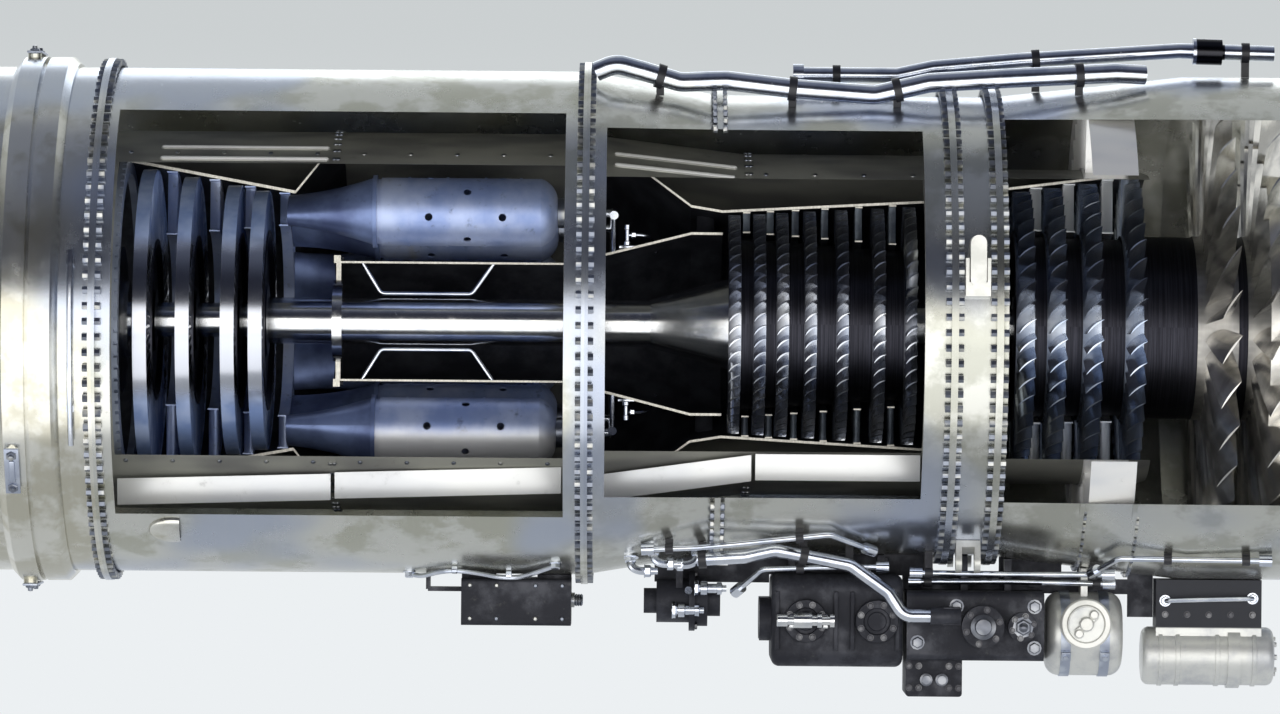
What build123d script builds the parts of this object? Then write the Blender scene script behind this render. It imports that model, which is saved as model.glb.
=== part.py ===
"""A cutaway two spool turbofan engine.

The axis runs along X, with the inlet face at X = 0 and the exhaust behind it at negative X.
The cut windows face -Y, and the accessories hang below, towards -Z.
Angles about the axis start at -Y, on the cut side, and rise towards +Z.
"""

import os
from math import acos, asin, atan2, cos, degrees, hypot, pi, radians, sin

from build123d import *

# General fits
seat_gap = 0.3
running_gap = 0.35
overrun = 30

# Joint planes along the axis, from the inlet face to the tail
inlet_joint_x = -160
fan_rear_joint_x = -816
mid_rear_joint_x = -906
centre_joint_x = -1645
rear_joint_x = -2625
tail_end_x = -3060

# Outer skin
fan_skin_r = 519
fan_taper_x = -420
duct_front_r = 474
duct_taper_x = -1375
duct_rear_r = 520
skin_wall = 5
flange_height = 20
flange_thick = 7
taper_flange_thick = 12
half_flanges_x = (-535, -640)
half_flange_height = 12
half_flange_thick = 9
half_flange_top_angle = -49

# Windows in the outer skin, as heights above and below the axis
fan_window_front_x = -195
fan_window_rear_x = -798
fan_window_top = 420
fan_window_bottom = -357
front_window_front_x = -965
front_window_rear_x = -1604
front_window_top = 393
front_window_bottom = -352
rear_window_front_x = -1687
rear_window_rear_x = -2589
rear_window_top = 422
rear_window_bottom = -394

# Inner ducts around the core
fan_core_r = 325
splitter_lip_x = -489
splitter_lip_r = 316
core_front_r = 352
core_taper_x = -1323
core_rear_r = 390
core_rear_end_x = -2612
core_wall = 4
core_front_window_front_x = -960
core_front_window_rear_x = -1612
core_front_window_top = 297
core_front_window_bottom = -260
core_rear_window_front_x = -1689
core_rear_window_rear_x = -2597
core_rear_window_top = 319
core_rear_window_bottom = -276
fan_core_window_top = 304
fan_core_window_bottom = -271
core_seam_x = -2156
seam_width = 16
seam_height = 1.5
bead_r = 8
bead_rise = 5
bead_angles = (57, 64)
rear_bead_front_x = -2177
rear_bead_rear_x = -2508
front_bead_front_x = -1345
front_bead_rear_x = -1584

# Shafts
low_shaft_r = 36
low_shaft_bore_r = 24
low_shaft_front_x = -96
low_shaft_rear_x = -2612
high_shaft_r = 48
high_shaft_bore_r = 41
high_shaft_front_x = -872
high_shaft_rear_x = -2338
high_cone_r = 96
high_cone_small_x = -1513
high_cone_wall = 8

# Inlet case
inlet_flange_holes = 36
inlet_hole_r = 4.5
inlet_vanes = 19
inlet_vane_chord = 70
inlet_vane_thick = 9
inlet_vane_x = -85
inlet_hub_r = 160
inlet_hub_wall = 8
inlet_hub_front_x = -40
dome_length = 34
dome_wall = 4

# Fan rows
fan_1_x = -251
fan_1_tip_r = 502
fan_1_blades = 27
fan_2_x = -354
fan_2_tip_r = 496
fan_2_blades = 34
fan_hub_r = 190
fan_rim_width = 84
fan_root_chord = 72
fan_tip_chord = 88
fan_root_thick = 10
fan_tip_thick = 4
fan_camber = 8
fan_camber_loss_share = 0.7
fan_2_chord_share = 0.8
fan_root_stagger = 22
fan_tip_stagger = 56
fan_span_shares = (0, 0.36, 0.7, 1)
snubber_r = 382
snubber_width = 30
snubber_thick = 6

# Fan exit vanes in the bypass stream
exit_vane_x = -581
exit_vane_chord = 84
exit_vane_thick = 7
exit_vane_camber = 9
exit_vane_stagger = -12
exit_vane_pitch = 7.2
exit_vane_ring_thick = 4
exit_vane_ring_width = 92

# Low pressure compressor
low_rows_x = (-525, -612, -685, -748)
low_tip_front_r = 308
low_tip_rear_r = 280
low_hub_front_r = 190
low_hub_rear_r = 196
low_blades = 44
low_blade_chord = 46
low_rim_width = 38
low_stagger = 40
low_vane_chord = 24
low_case_wall = 5
low_case_front_x = -517

# High pressure compressor
high_rows_x = (-981, -1046, -1121, -1186, -1243, -1290, -1341)
high_tip_front_r = 246
high_tip_rear_r = 226
high_hub_front_r = 162
high_hub_rear_r = 188
high_blades = 54
high_blade_chord = 31
high_rim_width = 26
high_stagger = 38
high_vane_chord = 15
high_case_wall = 5
high_case_front_x = -906
high_case_rear_x = -1365

# Blade and vane sections shared by both compressors
blade_thick = 3.2
blade_camber = 3.5
vane_stagger = -24
vane_pitch = 9
vane_band_thick = 3
tip_clearance = 6
blade_root_depth = 4
disc_web = 8
disc_bore_width_share = 0.8
disc_bore_height = 26
spacer_drop = 8
spacer_wall = 5

# Turbine
high_turbine_x = -2316
low_turbine_rows_x = (-2372, -2462, -2547)
turbine_tip_front_r = 269
turbine_tip_rear_r = 311
turbine_hub_front_r = 186
turbine_hub_rear_r = 166
turbine_blades = 54
turbine_blade_chord = 30
turbine_stagger = -34
turbine_camber = 7
turbine_blade_thick = 5
turbine_rim_width = 30
turbine_shroud_thick = 3
turbine_shroud_width = 28
nozzle_rows_x = (-2272, -2344, -2417, -2505)
nozzle_chord = 22
nozzle_stagger = 30
nozzle_pitch = 8
turbine_case_wall = 6
turbine_case_rear_x = -2589
turbine_ring_x = -2604
turbine_ring_outer_r = 340
turbine_ring_inner_r = 300
turbine_ring_slots = 84
turbine_slot_width = 8
turbine_slot_depth = 12

# Burners
can_angles = (80, 120, 160, 200, 240, 280)
can_centre_r = 230
can_r = 70
can_wall = 2.5
can_front_x = -1706
can_rear_x = -2084
can_neck_length = 15
can_dome_length = 34
can_mouth_r = 24
can_bulge_shares = (0.28, 0.62)
can_bulge_wall_share = 0.7
can_hole_r = 8
can_hole_rows_shares = (0.24, 0.46, 0.7)
can_holes_per_row = 4
can_lip_height = 1.6
can_lip_width = 5
can_lip_shares = (0.12, 0.34, 0.58, 0.82)
cross_tube_r = 16
cross_tube_share = 0.86
transition_wall = 3
transition_throat_share = 0.62
transition_rear_height = 30
transition_rear_width = 70
transition_throat_height = 40
transition_throat_width = 66
transition_flange_height = 5
transition_flange_width = 6

# Combustor inner case and its oil tubes
inner_case_r = 124
inner_case_wall = 4
inner_case_front_x = -1688
inner_case_rear_x = -2169
inner_case_flange_height = 12
inner_case_flange_thick = 14
bearing_wall_thick = 10
oil_tube_r = 5
oil_tube_y = 12
oil_tube_bend_r = 14
oil_tube_ends_x = (-1837, -2112)
oil_tube_knees_x = (-1883, -2071)
oil_tube_inner_z = 58

# Diffuser, fuel manifold and nozzles
diffuser_wall = 5
diffuser_knee_x = -1430
diffuser_knee_r = 246
diffuser_strut_x = -1400
diffuser_strut_chord = 36
diffuser_strut_thick = 8
diffuser_strut_angles = (110, 145, 180, 215, 250)
manifold_x = -1590
manifold_r = 9
manifold_margin = 5
manifold_post_r = 5
manifold_post_angles = (100, 140, 180, 220, 260)
nozzle_body_r = 15
nozzle_tip_r = 31
nozzle_tip_length = 22

# Intermediate case
mid_wall = 6
mid_hub_r = 120
mid_hub_bore_r = 92
mid_hub_margin = 8
mid_struts = 8
mid_strut_chord = 72
mid_strut_thick = 14
port_angle = 15.6
port_width = 32
port_height = 104
port_lift = 26
port_rail_height = 76
port_rail_width = 7
port_rail_gap = 2
port_rail_drop = 32
port_rail_lift = 18
port_bridge_height = 28

# Front mount lugs
mount_angles = (-70, -110)
mount_ear_thick = 12
mount_ear_gap = 26
mount_ear_width = 46
mount_ear_reach = 60
mount_ear_round_share = 0.42
mount_bore_r = 12
mount_bore_inset = 22
mount_base_thick = 14

# Rear structure
exhaust_case_r = 330
exhaust_case_rear_x = -2712
exhaust_case_wall = 5
exhaust_struts = 8
exhaust_strut_chord = 64
exhaust_strut_thick = 12
exhaust_hub_r = 150
exhaust_hub_bore_r = 80
tail_cone_length = 240
tail_cone_wall = 4
tail_cone_shares = ((0, 1), (0.35, 0.86), (0.7, 0.52), (1, 0.1))
tail_flange_holes = 36
mount_ring_front_x = -2693
mount_ring_rear_x = -2817
mount_ring_r = 541
mount_ring_groove = 14
mount_ring_groove_width = 9
mount_lug_angles = (-30, -38, -84, -96, 84, 96)
mount_lug_r = 14
mount_lug_height = 16
probe_x = -2668
probe_tube_r = 6
probe_stand = 13
probe_top_angle = 14.5
probe_sweep = 43
probe_foot = 14
probe_foot_angles = (12, -20)

# Flange fasteners
bolt_pitch = 31
bolt_head_r = 8
bolt_head_height = 11
inner_bolt_pitch = 26
inner_bolt_r = 5
inner_bolt_height = 6

# Bearings
bearing_width = 20
front_bearing_x = -112
low_mid_bearing_x = -848
high_front_bearing_x = -884
high_rear_bearing_x = -2159
low_rear_bearing_x = -2600
high_rear_bearing_r = 84

# Pipes over the top, as shares of the engine length, angle and lift in pipe radii
bleed_lower_r = 20
bleed_lower_shares = (
    (0.532, 70, 1.4),
    (0.519, 70, 2.6),
    (0.5, 70, 2.3),
    (0.476, 70, 1.8),
    (0.445, 70, 2.7),
    (0.4, 70, 1.9),
    (0.346, 70, 1.3),
    (0.31, 71, 2.5),
    (0.262, 72, 2.8),
    (0.185, 74, 1.9),
    (0.165, 75, 1.3),
)
bleed_upper_r = 16
bleed_upper_shares = (
    (0.396, 88, 2.7),
    (0.329, 88, 2.7),
    (0.305, 88, 3.7),
    (0.244, 88, 4.3),
    (0.139, 88, 3.4),
    (0.075, 88, 3.1),
)
bleed_bend_r = 48
bleed_cap_r = 22
bleed_cap_length = 22
bleed_joint_r = 27
bleed_joint_length = 60
bleed_joint_share = 0.86
clamp_wall = 5
clamp_width = 16
lower_clamp_shares = (0.12, 0.36, 0.55, 0.88)
upper_clamp_shares = (0.08, 0.5, 0.94)

# Lines along the lower flank, in the same form
oil_return_r = 14
oil_return_bend_r = 36
oil_return_shares = (
    (0.462, -69, 2.5),
    (0.43, -68, 2.7),
    (0.41, -67, 1.9),
    (0.36, -70, 3.4),
    (0.334, -73, 7),
    (0.324, -74.3, 10.2),
    (0.306, -74.3, 10.2),
)
oil_return_clamp_shares = (0.02, 0.42)
fuel_line_r = 6
fuel_line_bend_r = 20
fuel_line_shares = (
    ((0.495, -64, 2.4), (0.462, -63, 5.2), (0.438, -62.6, 5.2), (0.374, -61, 2.4), (0.347, -70, 2.4)),
    ((0.315, -78, 7.5), (0.25, -78.4, 6.6), (0.186, -78, 2.9)),
    ((0.315, -85, 9.3), (0.25, -85.4, 8), (0.184, -85, 4.7)),
    ((0.434, -82, 13), (0.418, -74, 8), (0.36, -73.5, 7), (0.338, -73.5, 7)),
    ((0.196, -74, 3.8), (0.182, -64, 3.4), (0.085, -62.4, 2.4)),
)
fuel_line_clamp_shares = ((0.09, 0.64), (0.067, 0.92), (0.067, 0.937), (0.5, 0.8), (0.5, 0.9))
union_r = 12
union_length = 26

# Accessories under the duct
igniter_front_x = -1672
igniter_length = 226
igniter_width = 150
igniter_height = 96
igniter_bracket_width = 70
igniter_bracket_thick = 8
igniter_pad_width = 60
igniter_corner_r = 8
pump_front_x = -1364
pump_length = 158
pump_r = 52
pump_flange_r = 62
pump_flange_thick = 12
pump_drop = 74
pump_nose_share = 0.6
pump_body_share = 0.86
pump_tail_share = 0.5
gearbox_front_x = -990
gearbox_length = 270
gearbox_width = 250
gearbox_height = 190
gearbox_top_z = -512
gearbox_corner_r = 34
gearbox_drum_r = 44
gearbox_drum_reach = 24
gearbox_end_drum_shares = (0.1, -0.26)
gearbox_side_drum_shares = (0.3, -0.24)
gearbox_hanger_shares = (0.34, -0.34)
control_front_x = -700
control_length = 282
control_width = 230
control_height = 142
control_top_z = -545
control_corner_r = 14
control_dome_r = 46
control_dome_reach = 30
control_dome_shares = (0.05, 0.34)
control_sump_height = 76
control_sump_length = 116
control_sump_width_share = 0.7
control_inlet_r = 18
control_inlet_length = 62
control_hanger_shares = (0.25, -0.07)
tank_front_x = -534
tank_length = 158
tank_r = 86
tank_z = -634
tank_cap_rise = 24
tank_cap_r = 50
tank_cap_height = 16
tank_cap_top_share = 0.7
starter_front_x = -220
starter_length = 272
starter_r = 60
starter_z = -678
starter_band_height = 6
starter_band_width = 26
starter_band_share = 0.26
starter_cradle_share = 0.8
starter_cradle_width = 84
hanger_thick = 14
hanger_width = 70


# Shapes that many pieces share
def turned(points, arc=360):
    """A profile of (x, radius) points turned about the engine axis, from the top towards the cut side."""
    face = make_face(Polyline(*points, close=True))
    return revolve(Plane.XZ * face, Axis.X, arc)


def far_half(points):
    """A profile turned through the half circle behind the cut plane."""
    return Rot(X=180) * turned(points, 180)


def ring(x_front, x_rear, outer_r, inner_r):
    """The profile of a plain ring."""
    return [(x_front, inner_r), (x_front, outer_r), (x_rear, outer_r), (x_rear, inner_r)]


def wall_profile(stations, wall):
    """The profile of a wall through (x, outer radius) stations, front to rear."""
    inner = [(x, r - wall) for x, r in reversed(stations)]
    return list(stations) + inner


def at_angle(shape, angle):
    """Move a shape that was built at the top to an angle about the axis."""
    return Rot(X=90 - angle) * shape


def on_axis(angle, radius, x):
    """A point at an angle and radius about the axis."""
    return Vector(x, -radius * cos(radians(angle)), radius * sin(radians(angle)))


def between(x, x_1, r_1, x_2, r_2):
    """The radius at x on a straight line through two stations."""
    return r_1 + (r_2 - r_1) * (x - x_1) / (x_2 - x_1)


def skin_r(x):
    """The outer skin's radius at a station."""
    if x >= fan_taper_x:
        return fan_skin_r
    if x >= fan_rear_joint_x:
        return between(x, fan_taper_x, fan_skin_r, fan_rear_joint_x, duct_front_r)
    if x >= duct_taper_x:
        return duct_front_r
    if x >= centre_joint_x:
        return between(x, duct_taper_x, duct_front_r, centre_joint_x, duct_rear_r)
    return duct_rear_r


def core_r(x):
    """The outer radius of the inner duct behind the intermediate case."""
    if x >= core_taper_x:
        return core_front_r
    if x >= centre_joint_x:
        return between(x, core_taper_x, core_front_r, centre_joint_x, core_rear_r)
    return core_rear_r


def low_tip(x):
    return between(x, low_rows_x[0], low_tip_front_r, low_rows_x[-1], low_tip_rear_r)


def low_hub(x):
    return between(x, low_rows_x[0], low_hub_front_r, low_rows_x[-1], low_hub_rear_r)


def high_tip(x):
    return between(x, high_rows_x[0], high_tip_front_r, high_rows_x[-1], high_tip_rear_r)


def high_hub(x):
    return between(x, high_rows_x[0], high_hub_front_r, high_rows_x[-1], high_hub_rear_r)


def turbine_tip(x):
    rear_x = low_turbine_rows_x[-1]
    return between(x, high_turbine_x, turbine_tip_front_r, rear_x, turbine_tip_rear_r)


def turbine_hub(x):
    rear_x = low_turbine_rows_x[-1]
    return between(x, high_turbine_x, turbine_hub_front_r, rear_x, turbine_hub_rear_r)


def window(x_front, x_rear, top, bottom):
    """The block that cuts a window through the skins on the near side."""
    reach = fan_skin_r + flange_height + overrun
    middle = Pos((x_front + x_rear) / 2, -reach / 2, (top + bottom) / 2)
    return middle * Box(x_front - x_rear, reach, top - bottom)


def section(chord, camber, thick, stagger):
    """A blade section of two arcs, with its chord turned from the axis by the stagger."""
    nose = (-chord / 2, 0)
    tail = (chord / 2, 0)
    back = ThreePointArc(nose, (0, camber + thick / 2), tail)
    front = ThreePointArc(tail, (0, camber - thick / 2), nose)
    return Rot(Z=stagger) * make_face([back, front])


def straight_blade(x, root_r, tip_r, chord, camber, thick, stagger):
    """A blade with one section from root to tip, standing at the top."""
    return extrude(Pos(x, 0, root_r) * section(chord, camber, thick, stagger), tip_r - root_r)


def all_round(shape, count):
    """Copies of a shape at even angles about the axis."""
    return [Rot(X=360 * k / count) * shape for k in range(count)]


def over_far_half(shape, pitch):
    """Copies of a shape over the half circle behind the cut plane, half a pitch clear of the cut."""
    count = int(180 / pitch)
    return [Rot(X=-180 * (k + 0.5) / count) * shape for k in range(count)]


def disc_profile(x, rim_r, rim_width, bore_r):
    """A rotor disc: a thick bore, a thin web and a rim."""
    rim = rim_width / 2
    hub = rim * disc_bore_width_share
    web = disc_web / 2
    hub_r = bore_r + disc_bore_height
    rim_in = rim_r - disc_web * 2
    return [
        (x + hub, bore_r),
        (x + hub, hub_r),
        (x + web, hub_r + disc_web),
        (x + web, rim_in),
        (x + rim, rim_in + disc_web),
        (x + rim, rim_r),
        (x - rim, rim_r),
        (x - rim, rim_in + disc_web),
        (x - web, rim_in),
        (x - web, hub_r + disc_web),
        (x - hub, hub_r),
        (x - hub, bore_r),
    ]


def spacer_profile(x_front, x_rear, outer_r):
    """A drum wall from one rim to the next, with a seating gap at its rear end."""
    return ring(x_front, x_rear + seat_gap, outer_r, outer_r - spacer_wall)


def capsule(start, end, radius):
    """A rod with round ends."""
    run = end - start
    bar = Cylinder(radius, run.length, align=(Align.CENTER, Align.CENTER, Align.MIN))
    rod = Plane(start, z_dir=run) * bar
    return rod + Pos(start) * Sphere(radius) + Pos(end) * Sphere(radius)


def flange(x, towards, skin_radius):
    """A bolting flange at a joint plane, on the front (1) or rear (-1) side of it."""
    return turned(
        ring(x, x + towards * flange_thick, skin_radius + flange_height, skin_radius - skin_wall)
    )


# Outer skins
def make_inlet_case():
    skin = turned(ring(0, inlet_joint_x, fan_skin_r, fan_skin_r - skin_wall))
    hub = turned(
        ring(inlet_hub_front_x, inlet_joint_x + seat_gap, inlet_hub_r, inlet_hub_r - inlet_hub_wall)
    )
    seat_r = low_shaft_r + running_gap + bearing_width
    bearing_seat = turned(
        ring(
            front_bearing_x + bearing_width / 2,
            front_bearing_x - bearing_width / 2,
            inlet_hub_r - inlet_hub_wall / 2,
            seat_r + seat_gap,
        )
    )
    root = inlet_hub_r - inlet_hub_wall / 2
    vane = straight_blade(
        inlet_vane_x, root, fan_skin_r - skin_wall / 2, inlet_vane_chord, 0, inlet_vane_thick, 0
    )
    case = skin + flange(0, -1, fan_skin_r) + flange(inlet_joint_x, 1, fan_skin_r)
    case = case + hub + bearing_seat + all_round(vane, inlet_vanes)
    hole = Pos(0, 0, fan_skin_r + flange_height / 2) * Rot(Y=90) * Cylinder(inlet_hole_r, overrun)
    return case - all_round(hole, inlet_flange_holes)


def make_nose_dome():
    """A shallow dome that closes the inlet hub."""
    back = inlet_hub_front_x + seat_gap
    ball_r = (inlet_hub_r**2 + dome_length**2) / (2 * dome_length)
    centre_x = back + dome_length - ball_r
    under_r = ball_r - dome_wall
    arcs = []
    for radius in (ball_r, under_r):
        edge = acos((back - centre_x) / radius)
        spots = [(centre_x + radius * cos(turn), radius * sin(turn)) for turn in (0, edge / 2, edge)]
        arcs.append(ThreePointArc(*spots))
    crown, under = arcs
    rim = Line(crown @ 1, under @ 1)
    nose = Line(crown @ 0, under @ 0)
    return revolve(Plane.XZ * make_face([crown, rim, under, nose]), Axis.X)


def make_fan_case():
    stations = [
        (inlet_joint_x, fan_skin_r),
        (fan_taper_x, fan_skin_r),
        (fan_rear_joint_x, duct_front_r),
    ]
    case = turned(wall_profile(stations, skin_wall))
    case = case + flange(inlet_joint_x, -1, fan_skin_r) + flange(fan_rear_joint_x, 1, duct_front_r)
    for x in half_flanges_x:
        half = half_flange_thick / 2
        profile = ring(x + half, x - half, skin_r(x) + half_flange_height, skin_r(x) - skin_wall / 2)
        sweep_angle = 180 + 2 * half_flange_top_angle
        case = case + Rot(X=90 - half_flange_top_angle) * turned(profile, -sweep_angle)
    return case - window(fan_window_front_x, fan_window_rear_x, fan_window_top, fan_window_bottom)


def make_outer_duct_front():
    stations = [
        (mid_rear_joint_x, duct_front_r),
        (duct_taper_x, duct_front_r),
        (centre_joint_x, duct_rear_r),
    ]
    duct = turned(wall_profile(stations, skin_wall))
    joint = turned(
        ring(
            duct_taper_x + taper_flange_thick / 2,
            duct_taper_x - taper_flange_thick / 2,
            duct_front_r + flange_height,
            duct_front_r - skin_wall / 2,
        )
    )
    duct = duct + joint
    duct = duct + flange(mid_rear_joint_x, -1, duct_front_r) + flange(centre_joint_x, 1, duct_rear_r)
    return duct - window(
        front_window_front_x, front_window_rear_x, front_window_top, front_window_bottom
    )


def make_outer_duct_rear():
    duct = turned(ring(centre_joint_x, rear_joint_x, duct_rear_r, duct_rear_r - skin_wall))
    duct = duct + flange(centre_joint_x, -1, duct_rear_r) + flange(rear_joint_x, 1, duct_rear_r)
    return duct - window(rear_window_front_x, rear_window_rear_x, rear_window_top, rear_window_bottom)


def make_exhaust_duct():
    duct = turned(ring(rear_joint_x, tail_end_x, duct_rear_r, duct_rear_r - skin_wall))
    duct = duct + flange(rear_joint_x, -1, duct_rear_r) + flange(tail_end_x, 1, duct_rear_r)
    spot = Pos(tail_end_x, 0, duct_rear_r + flange_height / 2)
    hole = spot * Rot(Y=90) * Cylinder(inlet_hole_r, overrun)
    return duct - all_round(hole, tail_flange_holes)


def make_rear_mount_ring():
    """Two broad bands side by side with a groove between them, and bolt lugs on their edge."""
    inner = duct_rear_r + seat_gap
    middle = (mount_ring_front_x + mount_ring_rear_x) / 2
    half_groove = mount_ring_groove_width / 2
    floor = mount_ring_r - mount_ring_groove
    band = turned(
        [
            (mount_ring_front_x, inner),
            (mount_ring_front_x, floor),
            (mount_ring_front_x - mount_ring_groove, mount_ring_r),
            (middle + half_groove, mount_ring_r),
            (middle + half_groove, floor),
            (middle - half_groove, floor),
            (middle - half_groove, mount_ring_r),
            (mount_ring_rear_x + mount_ring_groove, mount_ring_r),
            (mount_ring_rear_x, floor),
            (mount_ring_rear_x, inner),
        ]
    )
    quarter = (mount_ring_front_x - mount_ring_rear_x) / 4
    lug = Cylinder(mount_lug_r, mount_lug_height, align=(Align.CENTER, Align.CENTER, Align.MIN))
    sunk = mount_ring_r - mount_lug_height / 2
    lugs = [at_angle(Pos(middle - quarter, 0, sunk) * lug, angle) for angle in mount_lug_angles]
    return band + lugs


def make_probe_tube():
    """A thin tube that follows the exhaust duct round, on two feet."""
    radius = duct_rear_r + probe_stand
    profile = Plane.XZ * Pos(probe_x, radius) * Circle(probe_tube_r)
    tube = Rot(X=90 - probe_top_angle) * revolve(profile, Axis.X, probe_sweep)
    foot_low = duct_rear_r + seat_gap
    height = radius - foot_low
    foot = Pos(probe_x, 0, foot_low + height / 2) * Box(probe_foot, probe_foot, height)
    return tube + [at_angle(foot, angle) for angle in probe_foot_angles]


# Intermediate case, its port and the front mounts
def make_intermediate_case():
    skin = turned(ring(fan_rear_joint_x, mid_rear_joint_x, duct_front_r, duct_front_r - mid_wall))
    case = skin + flange(fan_rear_joint_x, -1, duct_front_r) + flange(mid_rear_joint_x, 1, duct_front_r)
    divider = turned(
        wall_profile([(fan_rear_joint_x, fan_core_r), (mid_rear_joint_x, core_front_r)], mid_wall)
    )
    low_end_r = low_tip(fan_rear_joint_x) + tip_clearance + low_case_wall
    high_end_r = high_tip(mid_rear_joint_x) + tip_clearance + high_case_wall
    core = turned(
        wall_profile([(fan_rear_joint_x, low_end_r), (mid_rear_joint_x, high_end_r)], mid_wall)
    )
    hub = turned(
        ring(
            fan_rear_joint_x - mid_hub_margin,
            mid_rear_joint_x + mid_hub_margin,
            mid_hub_r,
            mid_hub_bore_r,
        )
    )
    middle = (fan_rear_joint_x + mid_rear_joint_x) / 2
    strut = straight_blade(
        middle,
        (mid_hub_r + mid_hub_bore_r) / 2,
        duct_front_r - mid_wall / 2,
        mid_strut_chord,
        0,
        mid_strut_thick,
        0,
    )
    return case + divider + core + hub + all_round(at_angle(strut, 180 / mid_struts), mid_struts)


def make_port_cover():
    """An oval plug between two rails, seated on the intermediate case."""
    middle = (fan_rear_joint_x + mid_rear_joint_x) / 2
    height = duct_front_r * sin(radians(port_angle))
    outward = Plane((middle, 0, height), x_dir=(1, 0, 0), z_dir=(0, -1, 0))
    depth = duct_front_r + port_lift
    plug = extrude(outward * Rot(Z=90) * SlotOverall(port_height, port_width), depth)
    rail_depth = duct_front_r + port_rail_lift
    pieces = [plug]
    for side in (1, -1):
        spot = Pos(side * ((port_width + port_rail_width) / 2 + port_rail_gap), -port_rail_drop)
        rail = extrude(outward * spot * Rectangle(port_rail_width, port_rail_height), rail_depth)
        pieces.append(rail)
    bridge = Pos(0, -port_rail_drop - port_rail_height / 2 + port_bridge_height / 2)
    span = port_width + port_rail_width * 2 + port_rail_gap * 2
    pieces.append(extrude(outward * bridge * Rectangle(span, port_bridge_height), rail_depth))
    cover = pieces[0] + pieces[1:]
    drum = Rot(Y=90) * Cylinder(duct_front_r + seat_gap, mid_strut_chord * 2)
    cover = cover - Pos(middle, 0, 0) * drum
    return cover


def make_mount_clevises():
    """Two ears on a base, cross bored for the mount bolt, one on each lower flank."""
    middle = (fan_rear_joint_x + mid_rear_joint_x) / 2
    seat = duct_front_r + seat_gap
    span = mount_ear_gap + mount_ear_thick * 2
    base = Pos(middle, 0, seat + mount_base_thick / 2) * Box(span, mount_ear_width, mount_base_thick)
    ears = []
    for side in (1, -1):
        x = middle + side * (mount_ear_gap + mount_ear_thick) / 2
        block = Box(mount_ear_thick, mount_ear_width, mount_ear_reach)
        ear = Pos(x, 0, seat + mount_ear_reach / 2) * block
        tip_edges = ear.faces().sort_by(Axis.Z)[-1].edges().filter_by(Axis.X)
        ears.append(fillet(tip_edges, mount_ear_width * mount_ear_round_share))
    clevis = base + ears
    bore_z = seat + mount_ear_reach - mount_bore_inset
    bore = Pos(middle, 0, bore_z) * Rot(Y=90) * Cylinder(mount_bore_r, span + overrun)
    clevis = clevis - bore
    return Compound([at_angle(clevis, angle).solid() for angle in mount_angles])


# Inner ducts
def make_fan_inner_duct():
    stations = [
        (splitter_lip_x, splitter_lip_r),
        (splitter_lip_x - core_wall * 6, fan_core_r),
        (fan_rear_joint_x, fan_core_r),
    ]
    duct = turned(wall_profile(stations, core_wall))
    return duct - window(
        splitter_lip_x + overrun, fan_rear_joint_x - overrun, fan_core_window_top, fan_core_window_bottom
    )


def bead(front_x, rear_x, angle):
    """A raised stiffening bead along an inner duct."""
    sink = bead_r - bead_rise
    front = on_axis(angle, core_r(front_x) - sink, front_x)
    rear = on_axis(angle, core_r(rear_x) - sink, rear_x)
    return capsule(front, rear, bead_r)


def inside_of_core(x_front, x_rear):
    """The space inside an inner duct, which trims what stands on its wall."""
    front_r = core_r(x_front) - core_wall
    rear_r = core_r(x_rear) - core_wall
    return turned([(x_front, 0), (x_front, front_r), (x_rear, rear_r), (x_rear, 0)])


def make_inner_duct_front():
    stations = [
        (mid_rear_joint_x, core_front_r),
        (core_taper_x, core_front_r),
        (centre_joint_x, core_rear_r),
    ]
    beads = [bead(front_bead_front_x, front_bead_rear_x, angle) for angle in bead_angles]
    seam = turned(
        ring(
            core_taper_x + seam_width,
            core_taper_x,
            core_front_r + seam_height,
            core_front_r - core_wall / 2,
        )
    )
    duct = turned(wall_profile(stations, core_wall)) + seam
    duct = duct + [b - inside_of_core(core_taper_x, centre_joint_x) for b in beads]
    return duct - window(
        core_front_window_front_x,
        core_front_window_rear_x,
        core_front_window_top,
        core_front_window_bottom,
    )


def make_inner_duct_rear():
    duct = turned(ring(centre_joint_x, core_rear_end_x, core_rear_r, core_rear_r - core_wall))
    beads = [bead(rear_bead_front_x, rear_bead_rear_x, angle) for angle in bead_angles]
    seam = turned(
        ring(
            core_seam_x + seam_width / 2,
            core_seam_x - seam_width / 2,
            core_rear_r + seam_height,
            core_rear_r - core_wall / 2,
        )
    )
    duct = duct + seam + [b - inside_of_core(centre_joint_x, core_rear_end_x) for b in beads]
    return duct - window(
        core_rear_window_front_x, core_rear_window_rear_x, core_rear_window_top, core_rear_window_bottom
    )


# Fan and low pressure compressor
def fan_blade(x, tip_r, chord_share):
    """A twisted blade, lofted through sections from hub to tip."""
    root_r = fan_hub_r - blade_root_depth
    sections = []
    for share in fan_span_shares:
        chord = (fan_root_chord + (fan_tip_chord - fan_root_chord) * share) * chord_share
        thick = fan_root_thick + (fan_tip_thick - fan_root_thick) * share
        stagger = fan_root_stagger + (fan_tip_stagger - fan_root_stagger) * share
        camber = fan_camber * (1 - share * fan_camber_loss_share)
        radius = root_r + (tip_r - root_r) * share
        sections.append(Pos(x, 0, radius) * section(chord, camber, thick, stagger))
    return loft(sections)


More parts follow.
